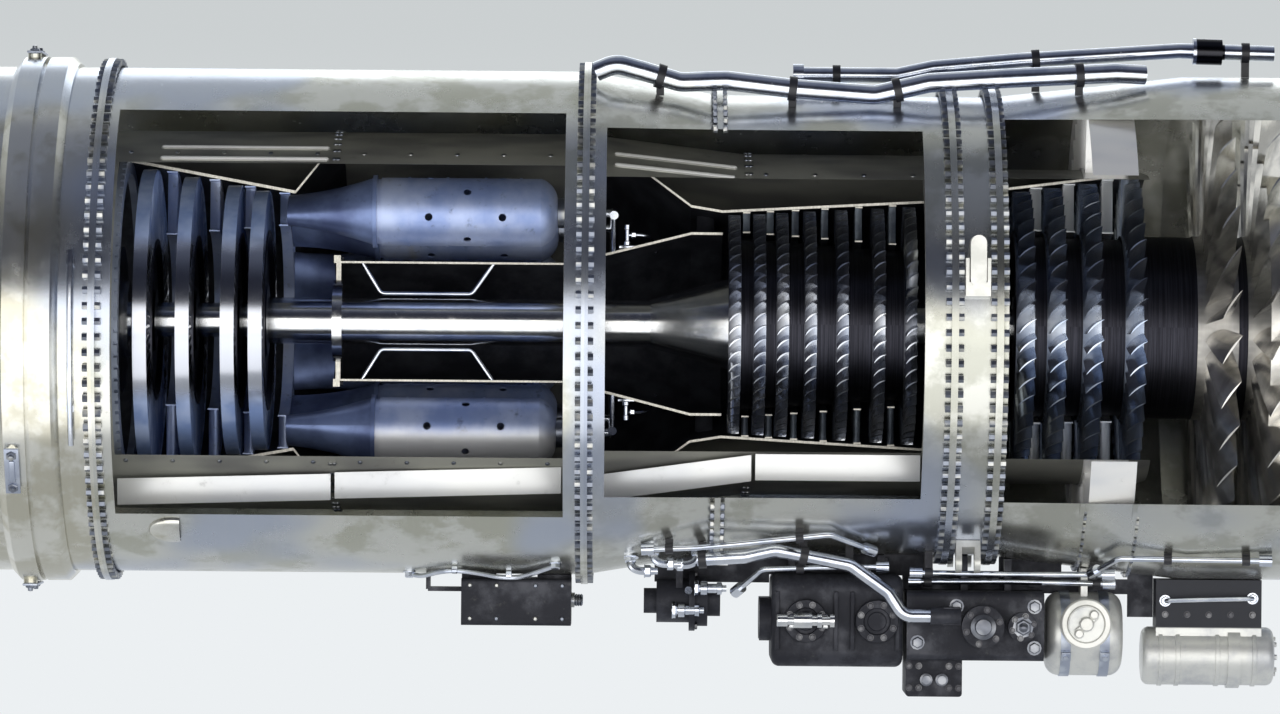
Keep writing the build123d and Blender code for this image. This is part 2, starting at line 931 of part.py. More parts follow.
def make_fan_stage(x, tip_r, blades, chord_share, drum_rear_x, snubber):
    """A fan disc with its blades and a drum wall that reaches back to the next rotor."""
    bore = low_shaft_r + seat_gap
    stage = turned(disc_profile(x, fan_hub_r, fan_rim_width, bore))
    stage = stage + turned(spacer_profile(x, drum_rear_x, fan_hub_r - spacer_drop / 4))
    stage = stage + all_round(fan_blade(x, tip_r, chord_share), blades)
    if snubber:
        half = snubber_width / 2
        stage = stage + turned(ring(x + half, x - half, snubber_r + snubber_thick, snubber_r))
    return stage


def make_fan_exit_vanes():
    """Vanes between two bands in the bypass stream, cut away with the fan case window."""
    outer = skin_r(exit_vane_x - exit_vane_ring_width / 2) - skin_wall - seat_gap
    inner = fan_core_r + seat_gap
    half = exit_vane_ring_width / 2
    x = exit_vane_x
    inner_band = turned(ring(x + half, x - half, inner + exit_vane_ring_thick, inner))
    outer_band = turned(ring(x + half, x - half, outer, outer - exit_vane_ring_thick))
    root = inner + exit_vane_ring_thick / 2
    tip = outer - exit_vane_ring_thick / 2
    vane = straight_blade(
        x, root, tip, exit_vane_chord, exit_vane_camber, exit_vane_thick, exit_vane_stagger
    )
    lowest = -degrees(asin((-fan_core_window_bottom + exit_vane_chord / 3) / inner))
    highest = degrees(asin((fan_core_window_top + exit_vane_thick) / inner))
    count = int((360 - (highest - lowest)) / exit_vane_pitch)
    step = (360 - (highest - lowest)) / count
    vanes = [at_angle(vane, highest + step * k) for k in range(count + 1)]
    cut = window(x + half + overrun, x - half - overrun, fan_core_window_top, fan_core_window_bottom)
    return outer_band - cut + (inner_band - cut) + vanes


def make_low_compressor_case():
    stations = []
    for x in (low_case_front_x, fan_rear_joint_x):
        stations.append((x, low_tip(x) + tip_clearance + low_case_wall))
    return far_half(wall_profile(stations, low_case_wall))


def vane_half_ring(x, outer_r, inner_r, chord, stagger, pitch):
    """A half ring of vanes between an outer and an inner band."""
    half = chord / 2
    outer_band = far_half(ring(x + half, x - half, outer_r, outer_r - vane_band_thick))
    inner_band = far_half(ring(x + half, x - half, inner_r + vane_band_thick, inner_r))
    root = inner_r + vane_band_thick / 2
    tip = outer_r - vane_band_thick / 2
    vane = straight_blade(x, root, tip, chord, blade_camber, blade_thick, stagger)
    return outer_band + inner_band + over_far_half(vane, pitch)


def rows_between(rows):
    """The places midway between neighbouring rotor rows."""
    return [(a + b) / 2 for a, b in zip(rows, rows[1:])]


def make_low_stator_vanes():
    rings = []
    for x in rows_between(low_rows_x):
        outer = low_tip(x - low_vane_chord / 2) + tip_clearance - seat_gap
        inner = low_hub(x) + vane_band_thick
        rings.append(vane_half_ring(x, outer, inner, low_vane_chord, vane_stagger, vane_pitch).solid())
    return Compound(rings)


def compressor_rotor(rows, hub, tip, bore_r, rim_width, chord, stagger, blades):
    """Bladed discs, each with a drum wall that reaches back to the next one."""
    stages = []
    for k, x in enumerate(rows):
        rim_r = hub(x)
        stage = turned(disc_profile(x, rim_r, rim_width, bore_r + seat_gap))
        if k + 1 < len(rows):
            rear = rows[k + 1] + rim_width / 2
            drum_r = min(rim_r, hub(rows[k + 1])) - spacer_drop
            stage = stage + turned(spacer_profile(x, rear, drum_r))
        root = rim_r - blade_root_depth
        blade = straight_blade(x, root, tip(x), chord, blade_camber, blade_thick, stagger)
        stages.append((stage + all_round(blade, blades)).solid())
    return Compound(stages)


def make_low_compressor_rotor():
    return compressor_rotor(
        low_rows_x, low_hub, low_tip, low_shaft_r, low_rim_width, low_blade_chord, low_stagger, low_blades
    )


# High pressure compressor
def make_high_compressor_case():
    stations = []
    for x in (high_case_front_x, high_case_rear_x):
        stations.append((x, high_tip(x) + tip_clearance + high_case_wall))
    return far_half(wall_profile(stations, high_case_wall))


def make_high_stator_vanes():
    rings = []
    for x in rows_between(high_rows_x):
        outer = high_tip(x - high_vane_chord / 2) + tip_clearance - seat_gap
        inner = high_hub(x) + vane_band_thick
        rings.append(vane_half_ring(x, outer, inner, high_vane_chord, vane_stagger, vane_pitch).solid())
    return Compound(rings)


def make_high_compressor_rotor():
    return compressor_rotor(
        high_rows_x,
        high_hub,
        high_tip,
        high_shaft_r,
        high_rim_width,
        high_blade_chord,
        high_stagger,
        high_blades,
    )


# Diffuser and fuel system
def diffuser_inner_r(x):
    """The outer radius of the diffuser's inner wall behind its knee."""
    return between(x, diffuser_knee_x, high_hub(high_case_rear_x), inner_case_front_x, inner_case_r)


def make_diffuser_case():
    """The outer and inner walls behind the compressor, held apart by struts, cut at the near half."""
    front_outer = high_tip(high_case_rear_x) + tip_clearance + high_case_wall
    lip_x = centre_joint_x + overrun
    outer = far_half(
        wall_profile(
            [
                (high_case_rear_x, front_outer),
                (diffuser_knee_x, diffuser_knee_r),
                (lip_x, core_r(lip_x) - core_wall - seat_gap),
            ],
            diffuser_wall,
        )
    )
    inner_front = high_hub(high_case_rear_x)
    inner = far_half(
        wall_profile(
            [
                (high_case_rear_x, inner_front),
                (diffuser_knee_x, inner_front),
                (inner_case_front_x, inner_case_r),
            ],
            diffuser_wall,
        )
    )
    strut = straight_blade(
        diffuser_strut_x,
        inner_front - diffuser_wall / 2,
        between(diffuser_strut_x, high_case_rear_x, front_outer, diffuser_knee_x, diffuser_knee_r)
        - diffuser_wall / 2,
        diffuser_strut_chord,
        0,
        diffuser_strut_thick,
        0,
    )
    return outer + inner + [at_angle(strut, angle) for angle in diffuser_strut_angles]


def make_fuel_manifold():
    """A bent tube behind the cut plane with a branch to each burner."""
    profile = Plane.XZ * Pos(manifold_x, can_centre_r) * Circle(manifold_r)
    last = can_angles[-1] + manifold_margin
    sweep_angle = last - can_angles[0] + manifold_margin
    arc = Rot(X=90 - last) * revolve(profile, Axis.X, sweep_angle)
    rear = can_front_x + nozzle_tip_length + seat_gap
    length = manifold_x - rear
    branch = Pos(manifold_x - length / 2, 0, can_centre_r) * Rot(Y=90) * Cylinder(manifold_r, length)
    foot_r = diffuser_inner_r(manifold_x + manifold_post_r) + seat_gap
    post = Pos(manifold_x, 0, (foot_r + can_centre_r) / 2) * Cylinder(manifold_post_r, can_centre_r - foot_r)
    manifold = arc + [at_angle(branch, angle) for angle in can_angles]
    return manifold + [at_angle(post, angle) for angle in manifold_post_angles]


def make_fuel_nozzles():
    """A stepped nozzle that enters the mouth of each burner."""
    front = can_front_x + nozzle_tip_length
    rear = can_front_x - can_dome_length / 2
    body = revolve(
        Plane.XZ
        * make_face(
            Polyline(
                (front, 0),
                (front, nozzle_tip_r),
                (can_front_x + seat_gap, nozzle_tip_r),
                (can_front_x + seat_gap, nozzle_body_r),
                (rear, nozzle_body_r),
                (rear, 0),
                close=True,
            )
        ),
        Axis.X,
    )
    placed = Pos(0, 0, can_centre_r) * body
    return Compound([at_angle(placed, angle).solid() for angle in can_angles])


# Burners
def burner_can():
    """One burner can on its own axis: a domed front with a mouth, lips, air holes and a rear neck."""
    shoulder = can_front_x - can_dome_length
    waist = can_rear_x + can_neck_length
    neck_r = can_r - transition_wall - seat_gap
    along, across = can_bulge_shares
    bulge_x = can_front_x - can_dome_length * along
    bulge_r = can_mouth_r + (can_r - can_mouth_r) * across
    inset = can_wall * can_bulge_wall_share
    bulge = (bulge_x, bulge_r)
    bulge_in = (bulge_x - inset, bulge_r - inset)
    outline = [
        ThreePointArc((can_front_x, can_mouth_r), bulge, (shoulder, can_r)),
        Polyline(
            (shoulder, can_r),
            (waist, can_r),
            (waist, neck_r),
            (can_rear_x, neck_r),
            (can_rear_x, neck_r - can_wall),
            (waist + can_wall, neck_r - can_wall),
            (waist + can_wall, can_r - can_wall),
            (shoulder, can_r - can_wall),
        ),
        ThreePointArc(
            (shoulder, can_r - can_wall), bulge_in, (can_front_x - can_wall, can_mouth_r)
        ),
        Line((can_front_x - can_wall, can_mouth_r), (can_front_x, can_mouth_r)),
    ]
    can = revolve(Plane.XZ * make_face(outline), Axis.X)
    length = shoulder - waist
    lips = []
    for share in can_lip_shares:
        x = shoulder - length * share
        lips.append(turned(ring(x, x - can_lip_width, can_r + can_lip_height, can_r - can_wall / 2)))
    can = can + lips
    holes = []
    for row, share in enumerate(can_hole_rows_shares):
        drill = Cylinder(can_hole_r, can_r + overrun, align=(Align.CENTER, Align.CENTER, Align.MIN))
        spot = Pos(shoulder - length * share, 0, 0) * drill
        turn = 360 / can_holes_per_row
        holes += [Rot(X=turn * (k + row / 2)) * spot for k in range(can_holes_per_row)]
    return can - holes


def make_combustion_cans():
    can = Pos(0, 0, can_centre_r) * burner_can()
    return Compound([at_angle(can, angle).solid() for angle in can_angles])


def make_cross_fire_tubes():
    """Short tubes that bridge neighbouring cans, trimmed to their walls."""
    step = can_angles[1] - can_angles[0]
    x = can_rear_x + (can_front_x - can_rear_x) * cross_tube_share
    middle_r = can_centre_r * cos(radians(step / 2))
    reach = can_centre_r * sin(radians(step / 2)) * 2
    tube = Pos(x, 0, middle_r) * Rot(X=90) * Cylinder(cross_tube_r, reach)
    wall = Rot(Y=90) * Cylinder(can_r + seat_gap, cross_tube_r * 4)
    for side in (90 - step / 2, 90 + step / 2):
        tube = tube - at_angle(Pos(x, 0, can_centre_r) * wall, side)
    return Compound([at_angle(tube, angle + step / 2).solid() for angle in can_angles[:-1]])


def transition_solid(shrink, rear_over):
    """The flared form of a transition duct, smaller by shrink all round."""
    front_x = can_rear_x
    rear_x = nozzle_rows_x[0] + nozzle_chord / 2 + seat_gap
    throat_x = front_x + (rear_x - front_x) * transition_throat_share
    forms = [
        (front_x + rear_over, can_r - shrink, can_r - shrink),
        (throat_x, transition_throat_width - shrink, transition_throat_height - shrink),
        (rear_x - rear_over, transition_rear_width - shrink, transition_rear_height - shrink),
    ]
    faces = []
    for x, half_width, half_height in forms:
        plane = Plane((x, 0, can_centre_r), x_dir=(0, 1, 0), z_dir=(-1, 0, 0))
        faces.append(plane * Ellipse(half_width, half_height))
    return loft(faces)


def make_transition_ducts():
    """Flared ducts that turn each burner's round outlet into a flat one for the turbine."""
    front_x = can_rear_x + transition_flange_width
    duct = transition_solid(0, 0) - transition_solid(transition_wall, transition_wall / 4)
    rim_profile = ring(
        front_x, can_rear_x - can_wall, can_r + transition_flange_height, can_r - transition_wall
    )
    duct = duct + Pos(0, 0, can_centre_r) * turned(rim_profile)
    return Compound([at_angle(duct, angle).solid() for angle in can_angles])


def make_combustor_inner_case():
    """The inner case around the shafts, cut at the near half, with a bolted flange and a bearing wall."""
    tube = far_half(
        ring(
            inner_case_front_x - seat_gap, inner_case_rear_x, inner_case_r, inner_case_r - inner_case_wall
        )
    )
    rear = inner_case_rear_x
    rim = far_half(
        ring(
            rear + inner_case_flange_thick,
            rear,
            inner_case_r + inner_case_flange_height,
            inner_case_r - inner_case_wall / 2,
        )
    )
    wall = far_half(
        ring(
            high_rear_bearing_x + bearing_wall_thick / 2,
            high_rear_bearing_x - bearing_wall_thick / 2,
            inner_case_r - inner_case_wall / 2,
            high_rear_bearing_r + seat_gap,
        )
    )
    count = int(pi * inner_case_r / inner_bolt_pitch)
    spot = Pos(rear + inner_case_flange_thick, 0, inner_case_r + inner_case_flange_height / 2)
    head = spot * Rot(Y=90) * extrude(RegularPolygon(inner_bolt_r, 6), inner_bolt_height)
    heads = [Rot(X=-180 * (k + 0.5) / count) * head for k in range(count)]
    return tube + rim + wall + heads


def make_bearing_oil_tubes():
    """Two bent tubes inside the inner case, above and below the shafts."""
    wall_r = inner_case_r - inner_case_wall - seat_gap
    inside = turned(ring(inner_case_front_x, inner_case_rear_x, wall_r, 0))
    front_x, rear_x = oil_tube_ends_x
    front_knee, rear_knee = oil_tube_knees_x
    tubes = []
    for side in (1, -1):
        path = FilletPolyline(
            (front_x, oil_tube_y, side * inner_case_r),
            (front_knee, oil_tube_y, side * oil_tube_inner_z),
            (rear_knee, oil_tube_y, side * oil_tube_inner_z),
            (rear_x, oil_tube_y, side * inner_case_r),
            radius=oil_tube_bend_r,
        )
        tube = sweep(Plane(path @ 0, z_dir=path % 0) * Circle(oil_tube_r), path)
        tubes.append((tube & inside).solid())
    return Compound(tubes)


# Turbine
def turbine_wall(x):
    """The inner radius of the turbine case over the blade rows."""
    return turbine_tip(x) + tip_clearance


def make_turbine_case():
    """A case that widens to the rear over the rows and flares forward to the inner duct."""
    flare_r = core_rear_r - core_wall - seat_gap
    throat_x = nozzle_rows_x[0] + nozzle_chord
    rear_r = turbine_wall(turbine_case_rear_x)
    throat_r = turbine_wall(throat_x)
    return far_half(
        wall_profile(
            [
                (core_seam_x, flare_r),
                (throat_x, throat_r + turbine_case_wall),
                (turbine_case_rear_x, rear_r + turbine_case_wall),
            ],
            turbine_case_wall,
        )
    )


def make_turbine_rear_ring():
    """A full ring behind the turbine case, slotted all round its front edge."""
    body = turned(
        ring(turbine_case_rear_x, turbine_ring_x, turbine_ring_outer_r, turbine_ring_inner_r)
    )
    depth = turbine_slot_depth
    spot = Pos(turbine_case_rear_x, 0, turbine_ring_outer_r - depth / 2 + overrun / 2)
    slot = spot * Box((turbine_case_rear_x - turbine_ring_x), turbine_slot_width, depth + overrun)
    return body - all_round(slot, turbine_ring_slots)


def make_turbine_nozzle_vanes():
    rings = []
    for x in nozzle_rows_x:
        outer = turbine_wall(x + nozzle_chord / 2) - seat_gap
        inner = turbine_hub(x) + tip_clearance
        half_ring = vane_half_ring(x, outer, inner, nozzle_chord, nozzle_stagger, nozzle_pitch)
        rings.append(half_ring.solid())
    return Compound(rings)


def make_turbine_stage(x, bore_r):
    """A turbine disc with blades and a tip shroud."""
    rim_r = turbine_hub(x)
    tip_r = turbine_tip(x)
    half = turbine_shroud_width / 2
    stage = turned(disc_profile(x, rim_r, turbine_rim_width, bore_r + seat_gap))
    blade = straight_blade(
        x,
        rim_r - blade_root_depth,
        tip_r - turbine_shroud_thick / 2,
        turbine_blade_chord,
        turbine_camber,
        turbine_blade_thick,
        turbine_stagger,
    )
    shroud = turned(ring(x + half, x - half, tip_r, tip_r - turbine_shroud_thick))
    return stage + shroud + all_round(blade, turbine_blades)


def make_turbine_exhaust_case():
    """A strutted case behind the turbine that carries the rear bearing."""
    front = turbine_ring_x
    rear = exhaust_case_rear_x
    skin = turned(ring(front, rear, exhaust_case_r, exhaust_case_r - exhaust_case_wall))
    hub = turned(ring(front, rear, exhaust_hub_r, exhaust_hub_r - exhaust_case_wall))
    seat = turned(
        ring(
            front,
            front - bearing_width,
            exhaust_hub_r - exhaust_case_wall / 2,
            exhaust_hub_bore_r + seat_gap,
        )
    )
    strut = straight_blade(
        (front + rear) / 2,
        exhaust_hub_r - exhaust_case_wall / 2,
        exhaust_case_r - exhaust_case_wall / 2,
        exhaust_strut_chord,
        0,
        exhaust_strut_thick,
        0,
    )
    return skin + hub + seat + all_round(strut, exhaust_struts)


def make_tail_cone():
    front = exhaust_case_rear_x
    stations = [(front - tail_cone_length * a, exhaust_hub_r * r) for a, r in tail_cone_shares]
    return turned(wall_profile(stations, tail_cone_wall))


# Shafts and bearings
def make_low_shaft():
    return turned(ring(low_shaft_front_x, low_shaft_rear_x, low_shaft_r, low_shaft_bore_r))


def make_high_shaft():
    """A hollow shaft with a cone that carries the last compressor disc."""
    shaft = turned(ring(high_shaft_front_x, high_shaft_rear_x, high_shaft_r, high_shaft_bore_r))
    wide_x = high_rows_x[-1] - disc_web / 2 - seat_gap
    cone = turned(
        [
            (wide_x, high_cone_r),
            (wide_x, high_cone_r - high_cone_wall),
            (high_cone_small_x + high_cone_wall, high_shaft_r - high_cone_wall / 4),
            (high_cone_small_x, high_shaft_r - high_cone_wall / 4),
            (high_cone_small_x, high_shaft_r + high_cone_wall / 4),
        ]
    )
    return shaft + cone


def make_main_bearings():
    """Five bearing rings between the shafts and the cases."""
    sizes = [
        (front_bearing_x, low_shaft_r, low_shaft_r + running_gap + bearing_width),
        (low_mid_bearing_x, low_shaft_r, mid_hub_bore_r - seat_gap),
        (high_front_bearing_x, high_shaft_r, mid_hub_bore_r - seat_gap),
        (high_rear_bearing_x, high_shaft_r, high_rear_bearing_r),
        (low_rear_bearing_x, low_shaft_r, exhaust_hub_bore_r),
    ]
    rings = []
    for x, shaft_r, outer_r in sizes:
        half = bearing_width / 2
        rings.append(turned(ring(x + half, x - half, outer_r, shaft_r + running_gap)).solid())
    return Compound(rings)


# Fasteners
def bolt_ring(joint_x, skin_radius):
    """Hexagon heads on the front of a flange pair and nuts on its back."""
    radius = skin_radius + flange_height / 2
    count = int(2 * pi * radius / bolt_pitch)
    head = Rot(Y=90) * extrude(RegularPolygon(bolt_head_r, 6), bolt_head_height)
    front = Pos(joint_x + flange_thick, 0, radius) * head
    back = Pos(joint_x - flange_thick - bolt_head_height, 0, radius) * head
    return all_round(front.solid(), count) + all_round(back.solid(), count)


def make_rear_flange_bolts():
    return Compound(bolt_ring(rear_joint_x, duct_rear_r))


def make_centre_flange_bolts():
    return Compound(bolt_ring(centre_joint_x, duct_rear_r))


def make_front_flange_bolts():
    bolts = bolt_ring(fan_rear_joint_x, duct_front_r) + bolt_ring(mid_rear_joint_x, duct_front_r)
    for x in half_flanges_x:
        radius = skin_r(x) + half_flange_height / 2
        head = Rot(Y=90) * extrude(RegularPolygon(inner_bolt_r, 6), inner_bolt_height)
        spot = Pos(x + half_flange_thick / 2, 0, radius) * head
        sweep_angle = 180 + 2 * half_flange_top_angle
        count = int(radians(sweep_angle) * radius / bolt_pitch)
        step = sweep_angle / count
        bolts += [at_angle(spot, half_flange_top_angle - step * (k + 0.5)).solid() for k in range(count)]
    return Compound(bolts)


# Pipes
def route(shares, pipe_r, bend_r):
    """A pipe's centre line from (share of length, angle, lift) points over the outer skin."""
    points = []
    for share, angle, lift in shares:
        x = tail_end_x * share
        points.append(on_axis(angle, skin_r(x) + lift * pipe_r, x))
    return FilletPolyline(*points, radius=bend_r)


def pipe(path, pipe_r):
    return sweep(Plane(path @ 0, z_dir=path % 0) * Circle(pipe_r), path)


def sleeve(path, share, radius, length):
    """A round collar about a pipe."""
    spot = path @ share
    return Plane(spot, z_dir=path % share) * Cylinder(radius, length)


def clamp(path, share, pipe_r):
    """A ring round a pipe on a leg that stands on the outer skin."""
    spot = path @ share
    radius = hypot(spot.Y, spot.Z)
    angle = degrees(atan2(spot.Z, -spot.Y))
    edges = (spot.X - clamp_width / 2, spot.X, spot.X + clamp_width / 2)
    foot = max(skin_r(x) for x in edges) + seat_gap
    grip = sleeve(path, share, pipe_r + clamp_wall, clamp_width)
    leg = Pos(spot.X, 0, (foot + radius) / 2) * Box(clamp_width, clamp_wall * 2, radius - foot)
    bore = sleeve(path, share, pipe_r + seat_gap, clamp_width * 3)
    return (grip + at_angle(leg, angle) - bore).solid()


lower_path = route(bleed_lower_shares, bleed_lower_r, bleed_bend_r)
upper_path = route(bleed_upper_shares, bleed_upper_r, bleed_bend_r)
return_path = route(oil_return_shares, oil_return_r, oil_return_bend_r)
line_paths = [route(shares, fuel_line_r, fuel_line_bend_r) for shares in fuel_line_shares]


def make_bleed_pipe_lower():
    return pipe(lower_path, bleed_lower_r)


def make_bleed_pipe_upper():
    """A pipe with a blanked end and a coupling near the front."""
    tube = pipe(upper_path, bleed_upper_r)
    cap = sleeve(upper_path, 0, bleed_cap_r, bleed_cap_length)
    coupling = sleeve(upper_path, bleed_joint_share, bleed_joint_r, bleed_joint_length)
    return tube + cap + coupling


def make_oil_return_pipe():
    return pipe(return_path, oil_return_r)


def make_fuel_lines():
    lines = []
    for path in line_paths:
        tube = pipe(path, fuel_line_r)
        for end in (0, 1):
            tube = tube + sleeve(path, end, union_r, union_length)
        lines.append(tube.solid())
    return Compound(lines)


def make_pipe_clamps():
    clamps = [clamp(lower_path, share, bleed_lower_r) for share in lower_clamp_shares]
    clamps += [clamp(upper_path, share, bleed_upper_r) for share in upper_clamp_shares]
    clamps += [clamp(return_path, share, oil_return_r) for share in oil_return_clamp_shares]
    for path, shares in zip(line_paths, fuel_line_clamp_shares):
        clamps += [clamp(path, share, fuel_line_r) for share in shares]
    return Compound(clamps)


# Accessories
def make_ignition_box():
    """A box under the rear duct, on two pads and a bent bracket behind it."""
    top = -duct_rear_r - igniter_bracket_thick - seat_gap
    x = igniter_front_x - igniter_length / 2
    body = Pos(x, 0, top - igniter_height / 2) * Box(igniter_length, igniter_width, igniter_height)
    body = fillet(body.edges().filter_by(Axis.X), igniter_corner_r)
    pad_height = igniter_bracket_thick
    pads_z = top + pad_height / 2
    for end in (1, -1):
        spot = x + end * (igniter_length - igniter_bracket_width) / 2
        pad = Box(igniter_bracket_width, igniter_pad_width, pad_height)
        body = body + Pos(spot, 0, pads_z) * pad
    rear = x - igniter_length / 2
    arm = Pos(rear - igniter_bracket_width / 2, 0, top - igniter_height / 4) * Box(
        igniter_bracket_width, igniter_pad_width, igniter_bracket_thick
    )
    post_height = pad_height + igniter_height / 4
    post = Pos(rear - igniter_bracket_width, 0, top + pad_height - post_height / 2) * Box(
        igniter_bracket_thick, igniter_pad_width, post_height
    )
    return body + arm + post


def make_fuel_pump():
    """A stepped round pump on a hanger under the tapered duct."""
    rear = pump_front_x - pump_length
    axis_z = -skin_r(rear) - pump_drop
    third = pump_length / 3
    body = turned(
        [
            (pump_front_x, 0),
            (pump_front_x, pump_r * pump_nose_share),
            (pump_front_x - third / 2, pump_r * pump_nose_share),
            (pump_front_x - third / 2, pump_r),
            (pump_front_x - third, pump_r),
            (pump_front_x - third, pump_flange_r),
            (pump_front_x - third - pump_flange_thick, pump_flange_r),
            (pump_front_x - third - pump_flange_thick, pump_r * pump_body_share),
            (rear + third / 2, pump_r * pump_body_share),
            (rear + third / 2, pump_r * pump_tail_share),
            (rear, pump_r * pump_tail_share),
            (rear, 0),
        ]
    )
    middle = pump_front_x - third - pump_flange_thick / 2
    return Pos(0, 0, axis_z) * body + hanger(middle - third / 2, axis_z)


def hanger(x, low_z, y=0):
    """A plate that stands between the outer skin and an accessory below it."""
    edges = (x - hanger_thick / 2, x + hanger_thick / 2)
    top = -max(skin_r(edge) for edge in edges) - seat_gap
    plate = Pos(x, y, (top + low_z) / 2) * Box(hanger_thick, hanger_width, top - low_z)
    return plate


def make_accessory_gearbox():
    """A cast gearbox across the engine with round drive pads at its ends and sides."""
    x = gearbox_front_x - gearbox_length / 2
    middle_z = gearbox_top_z - gearbox_height / 2
    body = Pos(x, 0, middle_z) * Box(gearbox_length, gearbox_width, gearbox_height)
    body = fillet(body.edges().filter_by(Axis.X), gearbox_corner_r)
    body = fillet(body.edges().group_by(Axis.Z)[0], gearbox_corner_r / 2)
    for share in gearbox_end_drum_shares:
        spot = Pos(x - gearbox_length / 2, gearbox_width * share, middle_z)
        body = body + spot * Rot(Y=90) * Cylinder(gearbox_drum_r, gearbox_drum_reach * 2)
    for share in gearbox_side_drum_shares:
        pad = Pos(x + gearbox_length * share, -gearbox_width / 2, middle_z)
        body = body + pad * Rot(X=90) * Cylinder(gearbox_drum_r, gearbox_drum_reach)
    for share in gearbox_hanger_shares:
        body = body + hanger(x + gearbox_length * share, middle_z)
    return body


def make_fuel_control():
    """A blocky control unit with a sump, domed covers and the oil return inlet."""
    x = control_front_x - control_length / 2
    middle_z = control_top_z - control_height / 2
    body = Pos(x, 0, middle_z) * Box(control_length, control_width, control_height)
    body = fillet(body.edges().filter_by(Axis.X), control_corner_r)
    sump_z = control_top_z - control_height - control_sump_height / 2
    sump_x = control_front_x - control_length + control_sump_length / 2
    sump = Pos(sump_x, 0, sump_z + control_corner_r / 2) * Box(
        control_sump_length,
        control_width * control_sump_width_share,
        control_sump_height + control_corner_r,
    )
    body = body + fillet(sump.edges().filter_by(Axis.Y), control_corner_r / 2)
    for share in control_dome_shares:
        spot = Pos(x + control_length * share, -control_width / 2, middle_z)
        body = body + spot * Rot(X=90) * Cylinder(control_dome_r * (1 - share), control_dome_reach * 2)
    inlet = return_path @ 1
    inlet_x = inlet.X + seat_gap
    stub = Pos(inlet_x + control_inlet_length / 2, inlet.Y, inlet.Z) * Rot(Y=90)
    body = body + stub * Cylinder(control_inlet_r, control_inlet_length)
    arm_y = (inlet.Y - control_width / 2) / 2
    arm_length = abs(inlet.Y + control_width / 2) + control_inlet_r
    arm_x = inlet_x + control_inlet_length - control_inlet_r
    arm = Pos(arm_x, arm_y, inlet.Z) * Box(control_inlet_r * 2, arm_length, control_inlet_r * 2)
    body = body + arm
    for share in control_hanger_shares:
        body = body + hanger(x + control_length * share, middle_z)
    return body


def make_oil_tank():
    """A round ended tank across the engine with a filler cap towards the viewer."""
    x = tank_front_x - tank_length / 2
    shell = Pos(x, 0, tank_z) * Rot(Y=90) * Cylinder(tank_r, tank_length)
    shell = fillet(shell.edges().filter_by(GeomType.CIRCLE), tank_r / 3)
    neck = Pos(x, -tank_r, tank_z + tank_cap_rise) * Rot(X=90)
    tank = shell + neck * Cylinder(tank_cap_r, tank_cap_height * 2)
    tank = tank + neck * Cylinder(tank_cap_r * tank_cap_top_share, tank_cap_height * 3)
    return tank + hanger(x, tank_z)


def make_starter():
    """A long drum with a band, hung in front of the tank."""
    rear = starter_front_x - starter_length
    band_x = starter_front_x - starter_length * starter_band_share
    middle = (starter_front_x + rear) / 2
    drum = Pos(middle, 0, starter_z) * Rot(Y=90) * Cylinder(starter_r, starter_length)
    drum = fillet(drum.edges().filter_by(GeomType.CIRCLE), starter_r / 4)
    band = turned(
        ring(band_x, band_x - starter_band_width, starter_r + starter_band_height, starter_r / 2)
    )
    top = -fan_skin_r - seat_gap
    cradle = Pos(middle, 0, (top + starter_z) / 2) * Box(
        starter_length * starter_cradle_share, starter_cradle_width, top - starter_z
    )
    return drum + Pos(0, 0, starter_z) * band + cradle


os.makedirs("parts", exist_ok=True)

